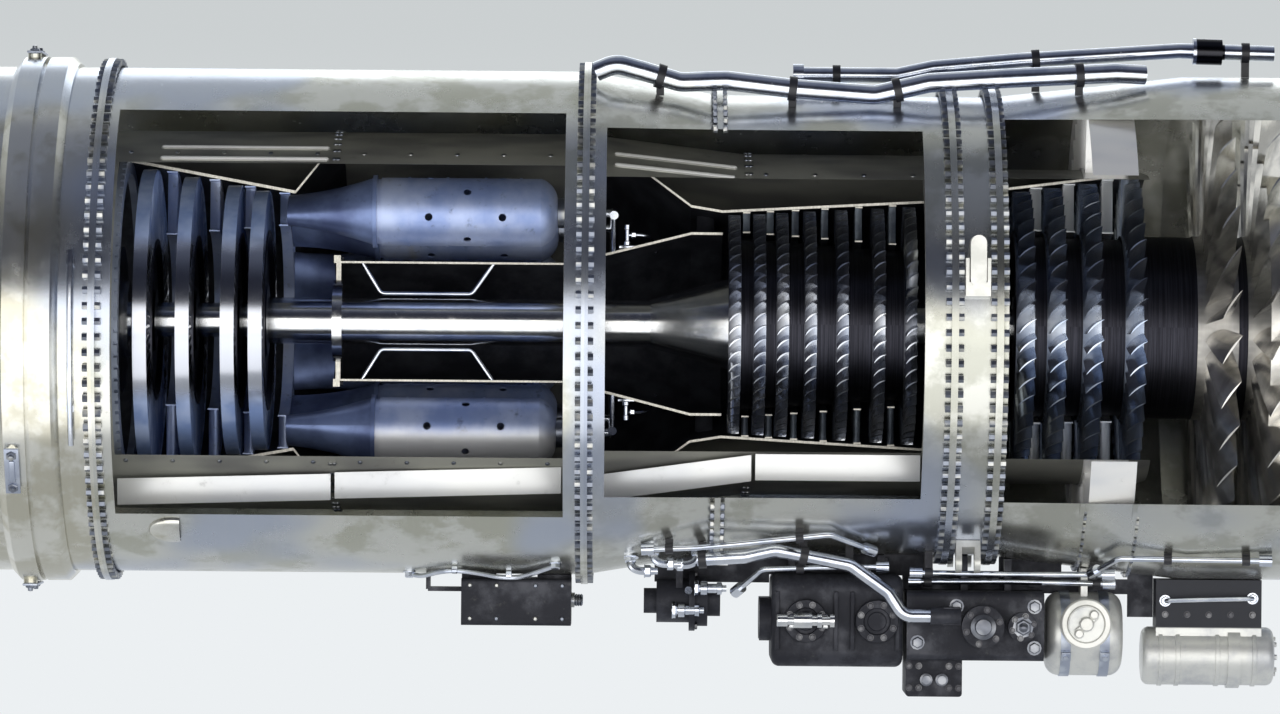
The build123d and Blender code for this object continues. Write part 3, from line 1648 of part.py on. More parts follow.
nodes = {
    "inlet_case": make_inlet_case(),
    "nose_dome": make_nose_dome(),
    "fan_case": make_fan_case(),
    "fan_exit_vanes": make_fan_exit_vanes(),
    "fan_inner_duct": make_fan_inner_duct(),
    "low_compressor_case": make_low_compressor_case(),
    "low_stator_vanes": make_low_stator_vanes(),
    "intermediate_case": make_intermediate_case(),
    "port_cover": make_port_cover(),
    "mount_clevises": make_mount_clevises(),
    "outer_duct_front": make_outer_duct_front(),
    "outer_duct_rear": make_outer_duct_rear(),
    "inner_duct_front": make_inner_duct_front(),
    "inner_duct_rear": make_inner_duct_rear(),
    "high_compressor_case": make_high_compressor_case(),
    "high_stator_vanes": make_high_stator_vanes(),
    "diffuser_case": make_diffuser_case(),
    "fuel_manifold": make_fuel_manifold(),
    "fuel_nozzles": make_fuel_nozzles(),
    "combustion_cans": make_combustion_cans(),
    "cross_fire_tubes": make_cross_fire_tubes(),
    "transition_ducts": make_transition_ducts(),
    "combustor_inner_case": make_combustor_inner_case(),
    "bearing_oil_tubes": make_bearing_oil_tubes(),
    "turbine_case": make_turbine_case(),
    "turbine_nozzle_vanes": make_turbine_nozzle_vanes(),
    "turbine_rear_ring": make_turbine_rear_ring(),
    "turbine_exhaust_case": make_turbine_exhaust_case(),
    "tail_cone": make_tail_cone(),
    "exhaust_duct": make_exhaust_duct(),
    "rear_mount_ring": make_rear_mount_ring(),
    "probe_tube": make_probe_tube(),
    "rear_flange_bolts": make_rear_flange_bolts(),
    "centre_flange_bolts": make_centre_flange_bolts(),
    "front_flange_bolts": make_front_flange_bolts(),
    "main_bearings": make_main_bearings(),
    "accessory_gearbox": make_accessory_gearbox(),
    "fuel_control": make_fuel_control(),
    "fuel_pump": make_fuel_pump(),
    "ignition_box": make_ignition_box(),
    "oil_tank": make_oil_tank(),
    "starter": make_starter(),
    "bleed_pipe_lower": make_bleed_pipe_lower(),
    "bleed_pipe_upper": make_bleed_pipe_upper(),
    "pipe_clamps": make_pipe_clamps(),
    "oil_return_pipe": make_oil_return_pipe(),
    "fuel_lines": make_fuel_lines(),
    "low_shaft": make_low_shaft(),
    "fan_stage_1": make_fan_stage(
        fan_1_x, fan_1_tip_r, fan_1_blades, 1, fan_2_x + fan_rim_width / 2, True
    ),
    "fan_stage_2": make_fan_stage(
        fan_2_x, fan_2_tip_r, fan_2_blades, fan_2_chord_share, low_rows_x[0] + low_rim_width / 2, False
    ),
    "low_compressor_rotor": make_low_compressor_rotor(),
    "high_shaft": make_high_shaft(),
    "high_compressor_rotor": make_high_compressor_rotor(),
    "high_turbine_stage": make_turbine_stage(high_turbine_x, high_shaft_r),
}
for row, row_x in enumerate(low_turbine_rows_x):
    nodes[f"low_turbine_stage_{row + 1}"] = make_turbine_stage(row_x, low_shaft_r)

# The flange bolts have flat faces only, which need no curves on their surfaces in the file
flat_faced = ("rear_flange_bolts", "centre_flange_bolts", "front_flange_bolts")
for name, shape in nodes.items():
    export_step(shape, f"parts/{name}.step", write_pcurves=name not in flat_faced)
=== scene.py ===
"""The looks of a cutaway turbofan engine: finishes for its solids, small fittings, light and camera."""

import math

import bmesh
import bpy
from mathutils import Matrix, Vector


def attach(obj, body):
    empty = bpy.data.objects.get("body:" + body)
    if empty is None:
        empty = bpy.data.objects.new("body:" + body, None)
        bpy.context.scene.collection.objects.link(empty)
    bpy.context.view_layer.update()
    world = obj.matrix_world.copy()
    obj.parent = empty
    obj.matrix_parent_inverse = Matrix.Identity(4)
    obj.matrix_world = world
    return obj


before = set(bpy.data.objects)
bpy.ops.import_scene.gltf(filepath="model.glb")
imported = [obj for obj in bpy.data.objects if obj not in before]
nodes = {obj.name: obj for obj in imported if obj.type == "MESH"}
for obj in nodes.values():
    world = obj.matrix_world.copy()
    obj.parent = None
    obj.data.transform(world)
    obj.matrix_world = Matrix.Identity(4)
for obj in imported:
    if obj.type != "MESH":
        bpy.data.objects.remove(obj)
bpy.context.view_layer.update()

# The engine's main stations and radii, in metres, from the inlet face rearward
CENTRE_JOINT_X = -1.645
REAR_SKIN_R = 0.520
FRONT_SKIN_R = 0.474
CORE_REAR_R = 0.390
CORE_FRONT_R = 0.352
CORE_SEAM_X = -2.156
DIFFUSER_INNER_R = 0.1555
CORE_TAPER_X = -1.323
CORE_TAPER_SLOPE = (CORE_REAR_R - CORE_FRONT_R) / (CORE_TAPER_X - CENTRE_JOINT_X)

# Directions: along the axis to the front, and out of the cut side
AXIS_X = Vector((1, 0, 0))
NEAR = Vector((0, -1, 0))

# Places of the fittings
FAN_CORE_R = 0.325
EDGE_BAND_SECTION = (
    (0.006, 0), (-0.004, 0), (0.006, 0.054), (0.010, 0.054), (0.002, 0.004), (0.006, 0.004),
)
EDGE_BAND_ROUNDING = 0.0008
SEAM_HEIGHT = 0.0015
SEAM_SCREW_ARCS = (
    # station, radius, first angle, last angle, step
    (CORE_SEAM_X - 0.004, CORE_REAR_R + SEAM_HEIGHT, 57, 313, 5),
    (CORE_SEAM_X + 0.004, CORE_REAR_R + SEAM_HEIGHT, 57, 313, 5),
    (CORE_TAPER_X + 0.004, CORE_FRONT_R + SEAM_HEIGHT, 60, 310, 6),
    (CORE_TAPER_X + 0.012, CORE_FRONT_R + SEAM_HEIGHT, 60, 310, 6),
    (-0.803, FAN_CORE_R, 72, 300, 8),
)
EDGE_SCREW_ROWS = (
    # angle, radius, front station, pitch, count
    (-47.5, CORE_REAR_R, -1.72, 0.095, 10),
    (60.5, CORE_REAR_R, -1.72, 0.095, 10),
    (-50, CORE_FRONT_R, -0.98, 0.1, 4),
    (60, CORE_FRONT_R, -0.98, 0.1, 4),
)
TAPER_FLANGE_X = -1.375
TAPER_FLANGE_HALF = 0.006
TAPER_BOLTS_R = FRONT_SKIN_R + 0.010
TAPER_BOLTS = 72
TAPER_BOLTS_FIRST = 54.5
TAPER_BOLTS_STEP = 3.6
SCOOP_SIZE = (0.050, 0.040, 0.017)
SCOOP_MOUTH_X = 0.014
SCOOP_WALL = 0.002
SCOOP_PLACE = (-55, REAR_SKIN_R, -2.475)
DOME_EDGE_X = -0.0365
DOME_SCREWS_R = 0.150
DOME_SCREWS = 16
MOUNT_LUG_TOP = 0.549
MOUNT_LUG_X = -2.786
MOUNT_LUG_ANGLES = (-30, -38, -84, -96, 84, 96)
# Links of the mount ring: angle, length and radius, then the plate's and the rib's width and height
RING_LINKS = ((-34, 0.108, 0.5477), (-90, 0.146, 0.546), (90, 0.146, 0.546))
LINK_PLATE = (0.030, 0.005)
LINK_RIB = (0.012, 0.009)
LINK_RIB_SHARE = 0.5
ELBOW_RISE = 0.030
ELBOW_REACH = 0.028
ELBOW_TUBE_R = 0.0085
POST_FOOT_X = -1.562
POST_FOOT_Y = 0.014
POST_BRANCH_Z = 0.028
POST_BRANCH_R = 0.0038
LEAD_TUBE_R = 0.005
# A dark plate behind the lines: partly a bracket, partly a sheet of painted shade
SHADE_PLATE_Y = 0.030
SHADE_PLATE_THICKNESS = 0.004
CARRIER_BOLT_ROWS = (
    # height, stations
    (-0.5355, (-0.96, -0.90, -0.84, -0.78, -0.72, -0.60)),
    (-0.486, (-1.32, -1.22, -1.12, -1.02)),
)
GEARBOX_FACE_Y = -0.125
GEARBOX_Z = -0.607
GEARBOX_PADS_X = (-1.044, -1.1898)
GEARBOX_RIBS_X = (-1.002, -1.094, -1.128, -1.248)
GEARBOX_RIB_SINK = 0.002
GEARBOX_PAD_HEIGHT = 0.010
GEARBOX_LID_TOP = 0.019
GEARBOX_LID_BOLTS_R = 0.0355
GEARBOX_SHAFT_START = (-1.250, GEARBOX_FACE_Y - 0.036, GEARBOX_Z + 0.002)
SHAFT_SADDLES_X = (-1.219, -1.150)
SHAFT_SADDLE_RISE = 0.012
CONTROL_DOMES_X = (-0.8269, -0.7451)
CONTROL_DOMES_R = (0.0437, 0.0304)
CONTROL_DOME_Y = -0.145
CONTROL_Z = -0.616
CONTROL_FACE_Y = -0.115
CONTROL_PLUG_SPOTS = ((-0.720, -0.575), (-0.720, -0.660), (-0.880, -0.575), (-0.960, -0.650))
DOME_BOLT_MARGIN = 0.008
SUMP_FACE_Y = -0.0805
SUMP_BOLTS_X = (-0.975, -0.955, -0.893, -0.873)
SUMP_BOLTS_Z = (-0.745, -0.700)
SUMP_PLUGS_X = (-0.940, -0.908)
SUMP_PLUG_Z = -0.728
PUMP_FACE_X = -1.4169
PUMP_BOLTS_R = 0.057
PUMP_Z = -0.573
TANK_X = -0.613
TANK_Z = -0.634
TANK_CAP_Y = -0.110
TANK_CAP_Z = -0.610
TANK_CAP_SINK = 0.0085
CAP_LEVER_TURN = math.radians(38)
STRAPS_X = (TANK_X + 0.040, TANK_X - 0.040)
STRAP_BUCKLE_Y = -0.078
STRAP_BUCKLE_Z = TANK_Z - 0.040
STRAP_BUCKLE_FACES = (0, -0.9, -0.44)
BLEED_SLEEVE_X = (-0.391, -0.331)
STARTER_FRONT_X = -0.220
STARTER_Z = -0.678
STARTER_RINGS_X = (-0.262, -0.338, -0.420, -0.455)
STARTER_END_BOLTS_R = 0.036
# Height above which the starter is painted nearly black, for its hanger and the shade under the duct
STARTER_SHADE_Z = -0.6185
CRADLE_FACE_Y = -0.042
CRADLE_RAIL_Z = -0.557
CRADLE_RAIL_R = 0.005
CRADLE_BOLTS_X = (-0.446, -0.401, -0.356, -0.311, -0.266)
CRADLE_BOLTS_Z = CRADLE_RAIL_Z - 0.034
IGNITER_FRONT_X = -1.672
IGNITER_FACE_Y = -0.075
IGNITER_SCREWS_X = (-1.690, -1.745, -1.825, -1.880)
IGNITER_SCREWS_Z = (-0.542, -0.610)
IGNITER_PLUGS_Y = (-0.045, 0.030)
IGNITER_PLUG_Z = -0.573
# Heights of the burner sheet's painted floor reflection, from its top down to full pale
BURNER_REFLECTION_TOP = -0.215
BURNER_REFLECTION_LOW = -0.255
MERGE = 0.00001
SHARP = math.radians(35)

# Hexagon heads: radius, height and washer radius
FLANGE_NUT = (0.008, 0.009, 0.0088)
RING_NUT = (0.011, 0.010, 0.013)
ELBOW_FOOT = (0.013, 0.012, 0.017)
ELBOW_NUT = (0.0125, 0.014, 0.0135)
POST_NUT = (0.0075, 0.010, 0.008)
UNION_NUT = (0.017, 0.010, 0.018)
LEAD_NUT = (0.010, 0.013, 0.013)
CARRIER_BOLT = (0.006, 0.006, 0.0075)
COVER_BOLT = (0.0055, 0.006, 0.007)
STEM_PLUG = (0.017, 0.014, 0.021)
CONTROL_PLUG = (0.012, 0.012, 0.015)
STRAP_BOLT = (0.006, 0.007, 0.008)
RAIL_FOOT = (0.010, 0.010, 0.012)

# Blocks: size, and the rounding of their edges
POST_FOOT = ((0.034, 0.024, 0.007), 0.0015)
LEAD_SADDLE = ((0.012, 0.018, 0.014), 0.002)
GEARBOX_RIB = ((0.009, 0.120, 0.010), 0.002)
SHAFT_SADDLE = ((0.012, 0.030, 0.022), 0.003)
CAP_LEVER = ((0.056, 0.013, 0.009), 0.004)
STRAP_BUCKLE = ((0.020, 0.020, 0.012), 0.002)

# Colours of wear and dirt, and the starter's painted shade
DUCT_GRIME = (0.16, 0.155, 0.13)
BLADE_GRAIN = (0.2, 0.21, 0.25)
POLISHED_RIM = (0.50, 0.52, 0.58)
STRAW_BAND = (0.50, 0.47, 0.42)
BLUE_SOOT = (0.05, 0.055, 0.10)
CAST_DUST = (0.17, 0.165, 0.15)
TUBE_RUB = (0.24, 0.23, 0.21)
SLEEVE_BLACK = (0.03, 0.03, 0.035)
PLATING_WEAR = (0.20, 0.19, 0.16)
ENAMEL_RUB = (0.17, 0.17, 0.18)
CAST_PITS = (0.22, 0.21, 0.18)
CUT_EDGE_DULL = (0.34, 0.33, 0.30)
CUT_EDGE_BRIGHT = (0.56, 0.54, 0.49)
# The starter's near black above its cradle height: painted shade, with dark hanger metal
PAINTED_SHADE_BLACK = (0.018, 0.019, 0.026)
PAINTED_SHADE_GREY = (0.040, 0.042, 0.052)

# Photograph's frame and camera
PHOTO_WIDTH = 1280
PHOTO_HEIGHT = 714
METRES_PER_PIXEL = 0.00207
AXIS_ROW = 323.5
AXIS_TILT = math.radians(0.49)
VIEW_X = -1.534
VIEW_DISTANCE = 13.0
SENSOR = 36.0

# Stage
FLOOR_Z = -1.02
FLOOR_RADIUS = 90.0
FLOOR_NEAR = 1.2
FLOOR_FAR = 3.2
FLOOR_GLOW = 0.45
PALE_TOP = (0.60, 0.63, 0.64)
PALE_LOW = (0.84, 0.87, 0.89)
FLOOR_PALE = (0.78, 0.79, 0.80)
FLOOR_SHADE = (0.74, 0.75, 0.76)
STUDIO_DARK = (0.022, 0.025, 0.040)
STUDIO_CEILING = (0.17, 0.19, 0.25)
STUDIO_FRONT = (0.90, 0.89, 0.86)
STUDIO_BEHIND = (0.62, 0.66, 0.72)
WARM_LIGHT = (1.0, 0.99, 0.96)
COOL_LIGHT = (0.9, 0.95, 1.0)
LAMPS = (
    # name, place, target, size, power, tint
    ("front_box", (-1.5, -5.0, -0.05), (-1.5, 0, -0.05), (7.5, 1.9), 64, WARM_LIGHT),
    ("floor_box", (-1.5, -2.9, -1.0), (-1.5, -2.9, 0), (7.0, 3.6), 88, WARM_LIGHT),
    ("back_soft", (-1.5, 4.5, 2.5), (-1.5, 0, 0), (6.0, 2.0), 60, COOL_LIGHT),
)


class Signal:
    """A shader socket that takes arithmetic."""

    def __init__(self, tree, socket=None):
        self.tree = tree
        self.socket = socket

    def node(self, kind, settings=None, inputs=None, output=0):
        """A new node: its type, its settings, then the values or links of its sockets."""
        made = self.tree.nodes.new("ShaderNode" + kind)
        for name, value in (settings or {}).items():
            if name == "stops":
                ramp = made.color_ramp
                while len(ramp.elements) < len(value):
                    ramp.elements.new(0.5)
                for element, (place, colour) in zip(ramp.elements, value):
                    element.position = place
                    element.color = (*colour, 1)
            else:
                setattr(made, name, value)
        for name, value in (inputs or {}).items():
            put(self.tree, made.inputs[name], value)
        return Signal(self.tree, made.outputs[output])

    def maths(self, operation, *values):
        return self.node("Math", {"operation": operation}, dict(enumerate(values)))

    def __add__(self, other):
        return self.maths("ADD", self, other)

    __radd__ = __add__

    def __sub__(self, other):
        return self.maths("SUBTRACT", self, other)

    def __rsub__(self, other):
        return self.maths("SUBTRACT", other, self)

    def __mul__(self, other):
        return self.maths("MULTIPLY", self, other)

    __rmul__ = __mul__

    def __truediv__(self, other):
        return self.maths("DIVIDE", self, other)

    def __abs__(self):
        return self.maths("ABSOLUTE", self)

    def root(self):
        return self.maths("SQRT", self)

    def step(self, low, high):
        """A smooth rise from 0 at low to 1 at high, or a fall where low is the larger."""
        return self.node(
            "MapRange",
            {"interpolation_type": "SMOOTHSTEP"},
            {"Value": self, "From Min": low, "From Max": high},
        )

    def split(self):
        """The three parts of a vector."""
        return [self.node("SeparateXYZ", None, {0: self}, output=k) for k in range(3)]

    def join(self, x, y, z):
        return self.node("CombineXYZ", None, {0: x, 1: y, 2: z})

    def noise(self, scale, detail=3.0, roughness=0.55):
        sockets = {"Vector": self, "Scale": scale, "Detail": detail, "Roughness": roughness}
        return self.node("TexNoise", None, sockets)

    def cells(self, scale):
        """The distance to the nearest of many scattered points."""
        return self.node("TexVoronoi", None, {"Vector": self, "Scale": scale})

    def blend(self, first, second):
        """A colour between two, with this signal as the share of the second."""
        return self.node(
            "Mix", {"data_type": "RGBA"}, {0: self, 6: colour(first), 7: colour(second)}, output=2
        )


def colour(value):
    """A colour with its alpha, or a link left as it is."""
    return value if isinstance(value, Signal) else (*value, 1)


def put(tree, socket, value):
    """Link a signal to a socket, or set the socket's own value."""
    if isinstance(value, Signal):
        tree.links.new(value.socket, socket)
    else:
        socket.default_value = value


class Finish:
    """A material with the engine's own coordinates at hand."""

    def __init__(self, name):
        self.material = bpy.data.materials.new(name)
        self.material.use_nodes = True
        self.tree = self.material.node_tree
        self.shader = self.tree.nodes["Principled BSDF"]
        start = Signal(self.tree)
        self.where = start.node("TexCoord", output="Object")
        self.x, self.y, self.z = self.where.split()
        self.radius = (self.y * self.y + self.z * self.z).root()
        self.turn = start.maths("ARCTAN2", self.z, self.y)
        self.around = start.join(self.x, self.turn, self.radius)

    def set(self, **sockets):
        for name, value in sockets.items():
            put(self.tree, self.shader.inputs[name.replace("_", " ")], value)

    def bump(self, height, strength, distance):
        """Feed a height to the shader's normal."""
        made = height.node("Bump", None, {"Height": height, "Strength": strength, "Distance": distance})
        self.set(Normal=made)

    def lathe_lines(self, per_metre):
        """Fine lines that run round the axis, as turning and polishing leave them."""
        lines = self.where.join(self.x * per_metre, self.turn * 0.8, self.radius * per_metre * 0.4)
        return lines.noise(1.0, 4.0, 0.7)

    def streaks_along(self, per_metre):
        """Fine lines that run along the axis, as drawing leaves them."""
        return self.where.join(self.x * 6, self.y * per_metre, self.z * per_metre).noise(1.0, 3.0, 0.6)


# Finishes
def duct_sheet(name, pale, olive, blue, gloss):
    """Dull duct sheet with olive and blue-grey patches, handling marks and fine turned lines."""
    made = Finish(name)
    patches = made.where.noise(7.0, 5.0, 0.6)
    drift = made.where.noise(2.2, 2.0, 0.5)
    marks = made.where.noise(38.0, 6.0, 0.72)
    lines = made.lathe_lines(420)
    tint = patches.step(0.43, 0.56).blend(olive, pale)
    tint = drift.step(0.50, 0.62).blend(tint, blue)
    tint = (marks.step(0.62, 0.8) * 0.35).blend(tint, DUCT_GRIME)
    tint = (lines.step(0.5, 0.85) * 0.25).blend(tint, pale)
    grime = made.where.noise(15.0, 4.0, 0.6)
    made.set(Base_Color=tint, Metallic=0.92)
    made.set(Roughness=gloss + lines * 0.06 + grime.step(0.45, 0.8) * 0.10)
    dents = made.where.noise(5.0, 2.0, 0.5)
    made.bump(dents * 0.7 + lines * 0.02 + marks * 0.03, 0.35, 0.006)
    return made.material


def core_sheet(name, pale, shade, bead_highlight=None):
    """Semi-matt sheet with soft waves, water marks and screw rubs, and raised beads painted pale and almost
    non-metallic as a painted highlight.
    """
    made = Finish(name)
    waves = made.around.noise(4.0, 2.0, 0.5)
    marks = made.where.noise(26.0, 5.0, 0.7)
    lines = made.lathe_lines(300)
    tint = waves.step(0.42, 0.66).blend(pale, shade)
    tint = (marks.step(0.6, 0.78) * 0.4).blend(tint, (shade[0] * 0.5, shade[1] * 0.5, shade[2] * 0.48))
    # Painted highlight: the raised beads take a pale, almost non-metallic colour for the glint along them.
    if bead_highlight:
        widening = (CORE_TAPER_X - made.x) * CORE_TAPER_SLOPE + CORE_FRONT_R
        sheet_r = made.x.maths("MINIMUM", made.x.maths("MAXIMUM", widening, CORE_FRONT_R), CORE_REAR_R)
        raised = (made.radius - sheet_r).step(0.0015, 0.0035)
        tint = raised.blend(tint, bead_highlight)
        made.set(Base_Color=tint, Metallic=0.4 - raised * 0.35)
    else:
        made.set(Base_Color=tint, Metallic=0.4)
    made.set(Roughness=0.3 + lines * 0.10 + marks.step(0.5, 0.8) * 0.12)
    made.bump(waves * 0.6 + lines * 0.015, 0.3, 0.005)
    return made.material


def cut_case(name, inside, edge_depth):
    """A very dark case, lighter in clouds, with a bright machined edge where the near half is cut away."""
    made = Finish(name)
    soot = made.where.noise(16.0, 5.0, 0.65)
    lines = made.lathe_lines(260)
    dark = soot.step(0.35, 0.7).blend(inside, (inside[0] * 2.4, inside[1] * 2.4, inside[2] * 2.2))
    edge = abs(made.y).step(edge_depth, edge_depth * 0.4)
    bright = lines.step(0.3, 0.75).blend(CUT_EDGE_DULL, CUT_EDGE_BRIGHT)
    made.set(Base_Color=edge.blend(dark, bright))
    made.set(Metallic=0.75 + edge * 0.25)
    made.set(Roughness=0.42 - edge * 0.2 + soot * 0.2)
    made.bump(soot * 0.5 + lines * 0.1, 0.25, 0.002)
    return made.material


def bladed(name, front, rear, blade, tip, disc, gloss, metallic, painted_height_light=False):
    """Ground blades on a dark disc, parted at the hub line through two (x, radius) stations; with painted
    light by height on request: the blade colour only in lit bands at the top and bottom, and polished rim
    metal across the middle.
    """
    made = Finish(name)
    slope = (rear[1] - front[1]) / (rear[0] - front[0])
    height = made.radius - ((made.x - front[0]) * slope + front[1])
    on_blade = height.step(-0.0015, 0.0015)
    grain = made.where.noise(90.0, 3.0, 0.6)
    lines = made.lathe_lines(340)
    clouds = made.where.noise(11.0, 3.0, 0.55)
    metal = clouds.step(0.38, 0.66).blend(blade, tip)
    metal = (grain.step(0.6, 0.8) * 0.15).blend(metal, BLADE_GRAIN)
    shine = metallic
    # Painted light by height: the blades' blue shows only in matte bands above and below the middle, as if
    # lit there, and the middle band is polished metal.
    if painted_height_light:
        painted_lit_bands = (abs(made.z) + clouds * 0.05).step(0.155, 0.205)
        metal = painted_lit_bands.blend(POLISHED_RIM, metal)
        shine = 1.0 - painted_lit_bands * (1.0 - metallic)
    hub = lines.step(0.35, 0.8).blend(disc, (disc[0] * 2.6, disc[1] * 2.6, disc[2] * 2.6))
    made.set(Base_Color=on_blade.blend(hub, metal), Metallic=1.0 - on_blade * (1.0 - shine))
    made.set(Roughness=gloss + 0.22 - on_blade * 0.2 + grain * 0.05)
    made.bump(grain * 0.3 + lines * 0.1, 0.1, 0.0006)
    return made.material


def heat_tint(name, cool, warm, gloss, pale=None):
    """Hot section sheet, tinted blue by heat in bands and clouds, with soot, and with a painted floor
    reflection that turns it pale towards the bottom.
    """
    made = Finish(name)
    clouds = made.where.noise(9.0, 4.0, 0.6)
    bands = made.where.join(made.x * 9, made.turn * 0.6, made.radius * 4).noise(1.0, 3.0, 0.55)
    soot = made.where.noise(34.0, 5.0, 0.7)
    tint = (clouds * 0.6 + bands * 0.4).step(0.38, 0.62).blend(cool, warm)
    tint = (bands.step(0.62, 0.75) * 0.55).blend(tint, STRAW_BAND)
    tint = (soot.step(0.58, 0.78) * 0.6).blend(tint, BLUE_SOOT)
    # Painted reflection: below a height the sheet fades to pale, for the floor's light on the faces that
    # look down.
    if pale:
        tint = (made.z - clouds * 0.02).step(BURNER_REFLECTION_TOP, BURNER_REFLECTION_LOW).blend(tint, pale)
    made.set(Base_Color=tint, Metallic=0.6)
    made.set(Roughness=gloss + soot * 0.16 + clouds * 0.06)
    made.bump(clouds * 0.6 + soot * 0.12, 0.25, 0.003)
    return made.material


def dark_cast(name, base, sheen):
    """Dark cast housing: sand cast grain, oil smears and dust in the hollows."""
    made = Finish(name)
    grain = made.where.noise(420.0, 4.0, 0.7)
    smear = made.where.noise(14.0, 5.0, 0.65)
    dust = made.where.noise(48.0, 5.0, 0.75)
    tint = smear.step(0.4, 0.68).blend(base, sheen)
    tint = (dust.step(0.58, 0.76) * 0.35).blend(tint, CAST_DUST)
    made.set(Base_Color=tint, Metallic=0.35)
    made.set(Roughness=0.58 - smear.step(0.45, 0.7) * 0.26 + grain * 0.1)
    made.bump(grain * 0.5 + smear * 0.6, 0.35, 0.0012)
    return made.material


def drawn_tube(name, pale, shade, gloss, sleeve=None):
    """Bright drawn tube with faint length lines, heat haze, rubs and a black sleeve between two stations."""
    made = Finish(name)
    lines = made.streaks_along(700)
    haze = made.where.noise(18.0, 3.0, 0.55)
    rubs = made.where.noise(70.0, 5.0, 0.72)
    tint = haze.step(0.4, 0.66).blend(pale, shade)
    tint = (rubs.step(0.62, 0.8) * 0.4).blend(tint, TUBE_RUB)
    if sleeve:
        middle, half = sum(sleeve) / 2, abs(sleeve[0] - sleeve[1]) / 2
        tint = abs(made.x - middle).step(half, half - 0.001).blend(tint, SLEEVE_BLACK)
    made.set(Base_Color=tint, Metallic=1.0)
    made.set(Roughness=gloss + lines * 0.06 + rubs.step(0.5, 0.8) * 0.14)
    made.bump(lines * 0.3 + haze * 0.3, 0.12, 0.001)
    return made.material


def plated(name, pale, shade, gloss):
    """Small plated hardware, lighter and darker from bolt to bolt."""
    made = Finish(name)
    each = made.where.cells(34.0)
    wear = made.where.noise(160.0, 4.0, 0.7)
    tint = each.step(0.2, 0.6).blend(pale, shade)
    tint = (wear.step(0.58, 0.76) * 0.5).blend(tint, PLATING_WEAR)
    made.set(Base_Color=tint, Metallic=1.0)
    made.set(Roughness=gloss + wear * 0.2)
    made.bump(wear, 0.2, 0.0006)
    return made.material


def black_paint(name, base):
    """Black enamel with a slight orange peel and rubbed patches."""
    made = Finish(name)
    peel = made.where.noise(260.0, 2.0, 0.5)
    rub = made.where.noise(46.0, 5.0, 0.75)
    tint = (rub.step(0.6, 0.78) * 0.5).blend(base, ENAMEL_RUB)
    made.set(Base_Color=tint, Metallic=0.1)
    made.set(Roughness=0.36 + rub * 0.2, Coat_Weight=0.15)
    made.bump(peel, 0.2, 0.0008)
    return made.material


def cast_light(name, pale, shade, shade_above=1.0):
    """Pale cast and machined alloy with machining lines, stains and small pits, nearly black above a given
    height: dark hanger metal there, with painted shade under the duct.
    """
    made = Finish(name)
    stains = made.where.noise(12.0, 5.0, 0.65)
    pits = made.where.noise(210.0, 4.0, 0.7)
    lines = made.streaks_along(320)
    tint = stains.step(0.4, 0.68).blend(pale, shade)
    tint = (pits.step(0.62, 0.78) * 0.4).blend(tint, CAST_PITS)
    # Painted shade: above the given height the alloy turns nearly black, partly dark hanger metal and partly
    # shade under the duct.
    dark = made.z.step(shade_above - 0.002, shade_above + 0.002)
    tint = dark.blend(tint, stains.blend(PAINTED_SHADE_BLACK, PAINTED_SHADE_GREY))
    made.set(Base_Color=tint, Metallic=0.6 - dark * 0.2)
    made.set(Roughness=0.30 + stains * 0.14 + lines * 0.08 + dark * 0.12)
    made.bump(pits * 0.5 + stains * 0.4, 0.25, 0.0012)
    return made.material


